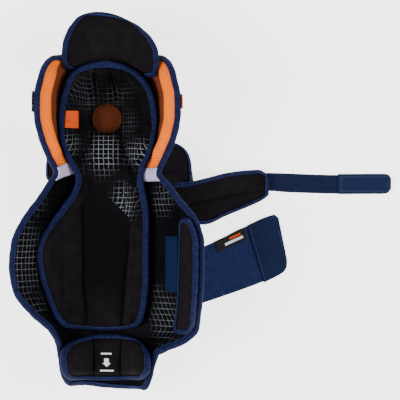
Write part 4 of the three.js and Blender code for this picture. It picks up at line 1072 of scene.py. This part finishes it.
def add_pad(node, sheet, over, under=0.0, material="brushed", masks=None, seed=0):
    """A pad's cloth and the binding round it."""
    piece = add_sheet(f"{node}_cloth", sheet, over, under, MATERIALS[material], [node], masks=masks)
    add_binding(f"{node}_edge_binding", sheet, [f"{node}_binding"], seed=seed)


def add_liner():
    _, x, rows_y = pad_rows(LINER_ROWS, LINER_LENGTH, LINER_REACH, LINER_START, 2.2, 76, liner_height)
    sheet = on_field(x, rows_y, liner_height)
    sheet["cloth"][..., 1] = rows_y
    px, py = sheet["base"][..., 0], sheet["base"][..., 1]
    # Where each place's upper face lies in plan. The lines and prints are given there.
    tx, ty = (sheet["base"] + sheet["normal"] * LINER_PAD)[..., :2].transpose(2, 0, 1)
    # Pad thickness: a pillow with sewn grooves down the shin and creases round the knee.
    swell = pillow(px, 5.0)
    sunk = np.zeros(px.shape)
    for line, depth in LINER_GROOVES:
        live = 1 - 0.7 * smooth(ty, line[0][1] - 30, line[0][1])
        sunk = np.maximum(sunk, groove(to_line(tx, ty, line), depth * live, 5.0))
    # The channel between the two deep grooves lies lower than the pads beside it.
    left, right = (np.interp(ty, *reversed(list(zip(*reversed(line))))) for line, _ in LINER_GROOVES[1:])
    channel = smooth(tx, left - 1, left + 1) * (1 - smooth(tx, right - 1, right + 1))
    # Painted shade for the colour: high where the grooves sink deepest and, below, in the knee creases.
    painted_shade = smooth(sunk, 2.0, 5.5)
    sunk += CHANNEL_DEPTH * channel * (1 - smooth(ty, 190, 240))
    for crease in KNEE_CREASES:
        fold = groove(to_line(tx, ty, crease), 6.5, 4.0)
        sunk = np.maximum(sunk, fold)
        painted_shade = np.maximum(painted_shade, 0.7 * smooth(fold, 3.0, 6.0))
    sunk = np.maximum(sunk, groove(to_line(tx, ty, LINER_FOLD), 3.2, 3.0))
    hole_x, hole_y, radius = KNEE_HOLE
    angle = np.arctan2(py - hole_y, px - hole_x)
    outline = radius * (1 + 0.015 * np.cos(3 * angle + 0.6))
    from_hole = np.hypot(px - hole_x, py - hole_y) - outline
    rim = rounded(from_hole / HOLE_ROUND)
    seam_y = np.interp(tx, *zip(*CLOTH_SEAM))
    seam = groove((ty - seam_y) * 0.8, 0.9, 1.6)
    wave = 0.9 * crumple(sheet["base"], 26, 2) + 0.4 * crumple(sheet["base"], 9, 4)
    full = LINER_PAD + 1.5 + wave - sunk - seam
    over = PAD_EDGE + (full - PAD_EDGE) * swell
    over = 1.5 + (over - 1.5) * rim
    # Cells inside the hole go, and the places round it move onto its outline.
    inside = from_hole < 0
    cell = inside[:-1, :-1] & inside[1:, :-1] & inside[:-1, 1:] & inside[1:, 1:]
    border = places_of(cell) & places_of(~cell)
    scale = np.where(border, outline / np.maximum(np.hypot(px - hole_x, py - hole_y), 1e-6), 1)
    new_x = hole_x + (px - hole_x) * scale
    new_y = hole_y + (py - hole_y) * scale
    sheet["base"][..., 0] = new_x
    sheet["base"][..., 1] = new_y
    sheet["base"][..., 2] = liner_height(new_x, new_y)
    over = np.where(border, 1.5, over)
    # The channel and sunk masks carry painted shade for the liner's colour.
    masks = {"print": print_mask(tx, ty, LINER_PRINT), "brushed": seam_y - ty,
             "channel": channel * smooth(ty, 92, 150), "sunk": painted_shade}
    piece = add_sheet("liner_pad", sheet, over, 0.0, MATERIALS["liner"], ["liner"],
                      keep=~cell, masks=masks)
    add_binding("liner_edge_binding", sheet, ["liner_binding"], seed=2, last=2.1)
    return sheet


def add_ankle_pad():
    height = off_body(CLEAR_OF_TAPE + TAPE_COVER)
    _, x, rows_y = pad_rows(ANKLE_PAD_ROWS, ANKLE_PAD_LENGTH, ANKLE_PAD_REACH, ANKLE_PAD_START, 1.8, 60, height)
    sheet = on_field(x, rows_y, height)
    px = sheet["base"][..., 0]
    at = ANKLE_GROOVE * ANKLE_PAD_REACH
    sunk = np.maximum(groove(px + at, GROOVE_DEPTH, 4.5), groove(px - at, GROOVE_DEPTH, 4.5))
    full = ANKLE_PAD_WALL + 1.0 + 0.8 * crumple(sheet["base"], 18, 5) - sunk
    over = PAD_EDGE + (full - PAD_EDGE) * pillow(px, 5.0)
    panel = 1 - smooth(np.abs(px), at - 3, at - 2)
    # The sunk mask is painted shade along the two grooves.
    add_pad("ankle_pad", sheet, over, material="panel", seed=3,
            masks={"mark": panel, "sunk": smooth(sunk, 2.0, 5.0)})


def add_flap():
    seat = off_body(CLEAR_OF_TAPE + TAPE_COVER + FLAP_CLEAR)

    def height(x, y):
        beyond = np.maximum(0, y - BODY_LENGTH)
        return seat(x, np.minimum(y, BODY_LENGTH)) + FLAP_RISE * (1 - np.exp(-beyond / FLAP_EASE))

    start = BODY_LENGTH - FLAP_TUCK
    shares, x, rows_y = pad_rows(FLAP_ROWS, FLAP_HEIGHT, FLAP_HALF_WIDTH, start, 2.4, 44, height)
    skew = column(FLAP_ROWS, "skew", shares)[:, None] * FLAP_HEIGHT
    rows_y = rows_y - skew * ((x - x[:, :1]) / (x[:, -1:] - x[:, :1]) - 0.5)
    sheet = on_field(x, rows_y, height, 5)
    swelling = FLAP_WALL - FLAP_EDGE + 1.2 + 0.9 * crumple(sheet["base"], 30, 6)
    add_pad("thigh_flap", sheet, FLAP_EDGE + swelling * pillow(x, 5.0), seed=4)


def add_tab(node, side, reach, seed, hidden=0, sink=0):
    """A side tab. Its lower end may go on out of sight, sinking under what lies there."""
    root = side * TAB_ROOT

    def height(x, y):
        drop = BODY_WALL / flatness(body_height, root + 0 * x, y) + CLEAR_OF_TAPE
        sunk = sink * (1 - smooth(y, TAB_START - 2, TAB_START + 14))
        free = body_height(root + 0 * x, y) - drop - TAB_DROOP * (np.abs(x) - TAB_ROOT) - sunk
        return np.maximum(free, TAB_WALL + TAPE_COVER + SEAT_GAP)

    length = TAB_LENGTH + hidden
    shares = shares_along(length, 2.4)
    y = TAB_START - hidden + shares * length
    edge = side * (TAB_ROOT + reach * column(TAB_ROWS, "reach", np.clip((y - TAB_START) / TAB_LENGTH, 0, 1)))
    inset = np.minimum(TAPE_WIDTH, np.abs(edge - root) * 0.3)
    left, right = np.minimum(edge, root), np.maximum(edge, root)
    x = places_across(left, right, [inset, inset], 18)
    sheet = on_field(x, np.broadcast_to(y[:, None], x.shape), height)
    over = (0.8 + 0.4 * crumple(sheet["base"], 20, seed)) * pillow(x, 4.0)
    add_pad(node, sheet, over, TAB_WALL, seed=seed)


def add_calf_pad():
    height = off_body(CLEAR_OF_TAPE)
    shares = shares_along(CALF_PAD_LENGTH, 2.6)
    y = CALF_PAD_START + shares * CALF_PAD_LENGTH
    left = column(CALF_PAD_ROWS, "left", shares) * OUTER_WING_REACH
    right = body_reach(np.ones(shares.shape), y / BODY_LENGTH) - CALF_PAD_SHORT
    inset = np.minimum(TAPE_WIDTH * flatness(height, left, y), (right - left) * 0.3)
    x = places_across(left, right, [inset, inset * 0.35], 14)
    sheet = on_field(x, np.broadcast_to(y[:, None], x.shape), height)
    swelling = CALF_PAD_WALL - PAD_EDGE + 0.6 + 0.4 * crumple(sheet["base"], 24, 8)
    add_pad("calf_pad", sheet, PAD_EDGE + swelling * pillow(x, 4.0), seed=9)


def thin_sheet(points, wall):
    """A thin piece with rounded edges: its base, and what stands over and under it."""
    full = np.array([0.3, 0.75, 0.95, 1.0])[np.minimum(loops_in(*points.shape[:2]), 3)]
    return lay(points), wall / 2 * (1 + full), -wall / 2 * (1 - full)


def hem_mask(sheet, inset, half=0.5):
    """1 on a line of stitches that runs round a sheet at a distance from its edges."""
    u, v = sheet["cloth"][..., 0], sheet["cloth"][..., 1]
    off = np.minimum(np.minimum(u - u[:, :1], u[:, -1:] - u), np.minimum(v, v[-1:] - v))
    return 1 - smooth(np.abs(off - inset), half * 0.6, half * 1.4)


def cut_size(sheet):
    """The width and length that a sheet is cut to, in metres, measured along its cloth."""
    return tuple(float(np.ptp(sheet["cloth"][..., k])) / 1000 for k in (0, 1))


def strap_points(length, step, spread, rows, width, placed):
    """A strap's places: its table gives its two edges, and placed() lays them out."""
    shares = shares_along(length, step, inset=STRAP_INSET)
    high, low = (column(rows, name, shares)[:, None] * width for name in ("high", "low"))
    across = low + (high - low) * spread[None, :]
    return placed(shares[:, None] + 0 * across, across, spread[None, :] + 0 * across)[:, ::-1]


def add_strap_sheet(name, node, slot, material, points, wall, flat, hem=None, lift=0.0, **laid_on):
    """A thin sheet. hem is its stitches' inset and half width."""
    sheet, over, under = thin_sheet(points, wall)
    masks = {"hem": hem_mask(sheet, *hem)} if hem else None
    piece = add_sheet(name, sheet, over + lift, under, MATERIALS[material], [node], masks=masks)


def rounded_spread(width, step, inset):
    """Shares across a strap, with close lines at both edges."""
    lines = inset / width * EDGE_LINES
    inner = np.linspace(inset / width, 1 - inset / width, max(2, round(width / step)) + 1)[1:-1]
    return np.concatenate([lines, inner, 1 - lines[::-1]])


def add_loop_patch():
    x0, y0, width, length = LOOP_PATCH
    across = rounded_spread(width, 1.6, 1.0)
    along = shares_along(length, 1.8, inset=1.0)
    x = x0 + width * across[None, :] + 0 * along[:, None]
    y = y0 + length * along[:, None] + 0 * across[None, :]
    height = off_body(SEAT_GAP)
    sheet, over, under = thin_sheet(np.stack([x, y, height(x, y)], axis=2), PATCH_WALL)
    over = over + 0.25 * crumple(sheet["base"], 2.5, 11)
    piece = add_sheet("loop_patch_pile", sheet, over, under, MATERIALS["loop"], ["loop_patch"])
    cut_size(sheet)


def add_upper_strap():
    def root_height(y):
        span = np.clip(y, *PADDLE_ROOT_SPAN)
        root = np.full(np.shape(y), PADDLE_ROOT)
        slope = flatness(body_height, root, np.full(np.shape(y), PADDLE_ROOT_SPAN[0]))
        drop = BODY_WALL / flatness(body_height, root, span)
        return body_height(root, span) - drop - PADDLE_WALL - (CLEAR_OF_TAPE + SEAT_GAP) / slope

    def on_paddle(along, across):
        y = PADDLE_LINE + across
        z = root_height(y) * column(PADDLE_ROWS, "rise", along)
        return np.stack([PADDLE_ROOT + along * PADDLE_LENGTH, y, z], axis=2)

    shares = shares_along(PADDLE_LENGTH, 2.6)
    low, high = (column(PADDLE_ROWS, name, shares) * PADDLE_WIDTH for name in ("low", "high"))
    inset = np.full(shares.shape, TAPE_WIDTH)
    # Rows run away from the leg and places from the high edge to the low one, so the sheet faces up.
    across = places_across(low, high, [inset, inset], 20)[:, ::-1]
    points = on_paddle(shares[:, None] + 0 * across, across)
    sheet = to_bind(points)
    px, py = points[..., 0], points[..., 1]
    swell = pillow(px, 5.0)
    seam = groove(to_line(px, py, PADDLE_SEAM), 3.4, 4.0)
    over = PADDLE_WALL + (1.6 + 0.9 * crumple(points, 26, 12) - seam) * swell
    # The sunk mask is painted shade along the seam's groove.
    add_pad("upper_strap_paddle", sheet, over, seed=12, masks={"sunk": 0.6 * smooth(seam * swell, 1.8, 3.2)})

    start = PADDLE_ROOT + PADDLE_LENGTH - UPPER_ELASTIC_LAP
    line = PADDLE_LINE + UPPER_ELASTIC_OFFSET

    def on_elastic(along, across, _):
        return np.stack([start + along * UPPER_ELASTIC_LENGTH, line + across, 0 * along], axis=2)

    spread = rounded_spread(UPPER_ELASTIC_WIDTH, 1.4, 1.0)
    points = strap_points(UPPER_ELASTIC_LENGTH, 2.0, spread, UPPER_ELASTIC_ROWS, UPPER_ELASTIC_WIDTH, on_elastic)
    add_strap_sheet("upper_strap_webbing", "upper_strap_elastic", "elastic", "narrow", points, ELASTIC_WALL,
                    (UPPER_ELASTIC_WIDTH, UPPER_ELASTIC_LENGTH), hem=(1.8, 0.4))

    tab_start = start + UPPER_ELASTIC_LENGTH + UPPER_TAB_OVERHANG - UPPER_TAB_LENGTH

    def on_tab(along, across, _):
        z = np.full(np.shape(along), ELASTIC_WALL + SEAT_GAP)
        return np.stack([tab_start + along * UPPER_TAB_LENGTH, line + across, z], axis=2)

    points = strap_points(UPPER_TAB_LENGTH, 1.4, spread, UPPER_TAB_ROWS, UPPER_ELASTIC_WIDTH, on_tab)
    add_strap_sheet("upper_strap_hook", "upper_strap_tab", "hook", "hook", points, HOOK_WALL,
                    (UPPER_ELASTIC_WIDTH, UPPER_TAB_LENGTH), hem=(4.0, 0.5), rests_on=["upper_strap_webbing"])


def on_lower_strap(distance, across, z):
    c, s = math.cos(LOWER_STRAP_TURN), math.sin(LOWER_STRAP_TURN)
    x = LOWER_STRAP_AT[0] + distance * c - across * s
    y = LOWER_STRAP_AT[1] + distance * s + across * c
    return np.stack([x, y, z + 0 * x], axis=2)


def add_lower_strap():
    def root_height(across):
        root = on_lower_strap(np.full(across.shape, -float(LOWER_STRAP_HIDDEN)), across, 0)
        slope = flatness(body_height, root[..., 0], root[..., 1])
        under = body_height(root[..., 0], root[..., 1]) - BODY_WALL / slope
        return under - ELASTIC_WALL - (SHELL_WALL + 2 * SEAT_GAP) / slope

    def on_elastic(along, across, _):
        z = root_height(across) * column(LOWER_ELASTIC_ROWS, "rise", along)
        return on_lower_strap(along * LOWER_ELASTIC_LENGTH - LOWER_STRAP_HIDDEN, across, z)

    spread = rounded_spread(LOWER_ELASTIC_WIDTH, 2.0, 1.2)
    points = strap_points(LOWER_ELASTIC_LENGTH, 2.2, spread, LOWER_ELASTIC_ROWS, LOWER_ELASTIC_WIDTH, on_elastic)
    add_strap_sheet("lower_strap_webbing", "lower_strap_elastic", "elastic", "elastic", points, ELASTIC_WALL,
                    (LOWER_ELASTIC_WIDTH, LOWER_ELASTIC_LENGTH), hem=(2.0, 0.4),
                    lift=0.25 * crumple(points, 22, 14), rests_on=["shin_shell_smooth"])

    on_top = ELASTIC_WALL + LABEL_GAP

    def on_tab(along, across, spread_share):
        slant = column(LOWER_TAB_ROWS, "slant", along) * (spread_share - 0.5)
        return on_lower_strap(LOWER_TAB_START + LOWER_TAB_LENGTH * (along + slant), across, on_top)

    spread = rounded_spread(LOWER_ELASTIC_WIDTH, 2.0, 1.0)
    points = strap_points(LOWER_TAB_LENGTH, 1.4, spread, LOWER_TAB_ROWS, LOWER_ELASTIC_WIDTH, on_tab)
    add_strap_sheet("lower_strap_hook", "lower_strap_tab", "hook", "hook", points, HOOK_WALL,
                    (LOWER_ELASTIC_WIDTH * 1.1, LOWER_TAB_LENGTH), hem=(2.6, 0.5),
                    rests_on=["lower_strap_webbing"])

    begin, offset, length, width, tilt = STRAP_LABEL
    along = shares_along(length, 1.6, inset=0.8)[:, None]
    share = rounded_spread(width, 1.5, 0.8)[None, ::-1]
    points = on_lower_strap(begin + along * length + 0 * share, offset + along * tilt + share * width, on_top)
    add_strap_sheet("lower_strap_woven_label", "lower_strap_label", "label", "strap_label", points, LABEL_WALL,
                    (width, length), rests_on=["lower_strap_webbing"])


def add_knee_label(side, body, columns, length, material):
    """A small label under the body's rim. It follows the binding inwards over its first few columns."""
    points = body["under"]
    y = points[:, columns[1], 1]
    order = np.argsort(y)
    middle = KNEE_LABELS[0]
    wanted = np.linspace(middle - length / 2, middle + length / 2, 15)
    lines = [np.stack([np.interp(wanted, y[order], points[order, c, axis]) for axis in range(3)], axis=1)
             for c in columns]
    last = lines[-1] + unit(lines[-1] - lines[-2]) * TAPE_WIDTH
    patch = np.stack([*lines, last], axis=1)
    fine = np.linspace(0, patch.shape[1] - 1, 15)
    low = np.minimum(fine.astype(int), patch.shape[1] - 2)
    t = (fine - low)[None, :, None]
    patch = patch[:, low] * (1 - t) + patch[:, low + 1] * t
    if patch[0, -1, 0] < patch[0, 0, 0]:
        patch = patch[:, ::-1]
    add_sheet(f"{side}_knee_woven_label", lay(patch), -CLEAR_OF_TAPE, CLEAR_OF_TAPE + LABEL_WALL,
              MATERIALS[material], [f"{side}_knee_label"])


def add_liner_label(liner):
    """A flat label on the liner, from its binding's lip inwards."""
    middle, length = LINER_LABEL
    over = liner["over"]
    wanted = np.linspace(middle - length / 2, middle + length / 2, 17)
    strip = np.stack([[np.interp(wanted, over[:, c, 1], over[:, c, axis]) for axis in range(3)]
                      for c in range(16)], axis=0)
    lip = np.linspace(strip[2, 0, 0], strip[2, 0, -1], len(wanted)) + 1.6
    patch = np.zeros((len(wanted), 13, 3))
    for k, y in enumerate(wanted):
        patch[k, :, 0] = np.linspace(lip[k], lip.mean() + LINER_LABEL_WIDTH, 13)
        patch[k, :, 1] = y
        patch[k, :, 2] = np.interp(patch[k, :, 0], strip[:, 0, k], strip[:, 2, k])
    made = lay(patch)
    clear = SEAT_GAP + (CLEAR_OF_TAPE - SEAT_GAP) * (1 - smooth(patch[..., 0] - lip[:, None], 1, 5))
    add_sheet("liner_side_label", made, clear + LABEL_WALL, -clear, MATERIALS["bright"], ["liner_label"])


def add_labels(body, liner):
    add_liner_label(liner)
    _, inner_length, outer_length = KNEE_LABELS
    add_knee_label("inner", body, [0, 1, 2, 3], inner_length, "knee_label")
    add_knee_label("outer", body, [-1, -2, -3, -4], outer_length, "bright")


# ---------------------------------------------------------------- the scene round it

CAMERA_PLACE = (-0.00355, 0.00363, 3.0)
CAMERA_LENS = 202.3
WORLD_STRENGTH = 0.3
FLOOR_HALF = 6.0
LAMP_SIZE = 1.8
# Each lamp's name, place and power.
LAMPS = [("left", (-2.0, -0.4, 1.9), 110), ("right", (2.0, 0.2, 1.9), 90), ("near", (0.2, -2.2, 1.9), 30)]


def add_floor():
    mesh = bpy.data.meshes.new("floor")
    corners = [(FLOOR_HALF * x, FLOOR_HALF * y, 0) for x, y in ((-1, -1), (1, -1), (1, 1), (-1, 1))]
    mesh.from_pydata(corners, [], [(0, 1, 2, 3)])
    shader = Shader("pale_floor", FLOOR_PALE, 0.9, specular=0.0)
    shader.bsdf.inputs["Emission Color"].default_value = (1, 1, 1, 1)
    shader.bsdf.inputs["Emission Strength"].default_value = FLOOR_GLOW
    mesh.materials.append(shader.finish())
    floor = bpy.data.objects.new("floor", mesh)
    bpy.context.scene.collection.objects.link(floor)


def add_light(name, place, power):
    light = bpy.data.lights.new(name, "AREA")
    light.shape = "DISK"
    light.size = LAMP_SIZE
    light.energy = power
    lamp = bpy.data.objects.new(name, light)
    lamp.location = place
    lamp.rotation_euler = (-Vector(place)).to_track_quat("-Z", "Y").to_euler()
    bpy.context.scene.collection.objects.link(lamp)


def add_camera():
    """Straight down from three metres. The view is 524 mm wide at the guard's middle height."""
    view = bpy.data.cameras.new("camera")
    view.lens = CAMERA_LENS
    view.sensor_width = 36
    view.clip_end = 50
    camera = bpy.data.objects.new("camera", view)
    camera.location = CAMERA_PLACE
    bpy.context.scene.collection.objects.link(camera)
    bpy.context.scene.camera = camera


def add_world():
    world = bpy.data.worlds.new("studio")
    world.use_nodes = True
    world.node_tree.nodes["Background"].inputs["Color"].default_value = (1, 1, 1, 1)
    world.node_tree.nodes["Background"].inputs["Strength"].default_value = WORLD_STRENGTH
    bpy.context.scene.world = world


add_camera()
add_world()
add_floor()
for lamp in LAMPS:
    add_light(*lamp)

body_shares, body = add_body()
add_shell("shin_shell_smooth", "shin_shell", body_shares, body, SHIN_SHELL)
add_shell("knee_shell_smooth", "knee_shell", body_shares, body, KNEE_SHELL)
liner = add_liner()
add_ankle_pad()
add_flap()
add_tab("outer_side_tab", 1, OUTER_TAB_REACH, 21, TAB_HIDDEN, TAB_SINK)
add_tab("inner_side_tab", -1, INNER_TAB_REACH, 22)
add_calf_pad()
add_loop_patch()
add_upper_strap()
add_lower_strap()
add_labels(body, liner)

bpy.context.view_layer.update()
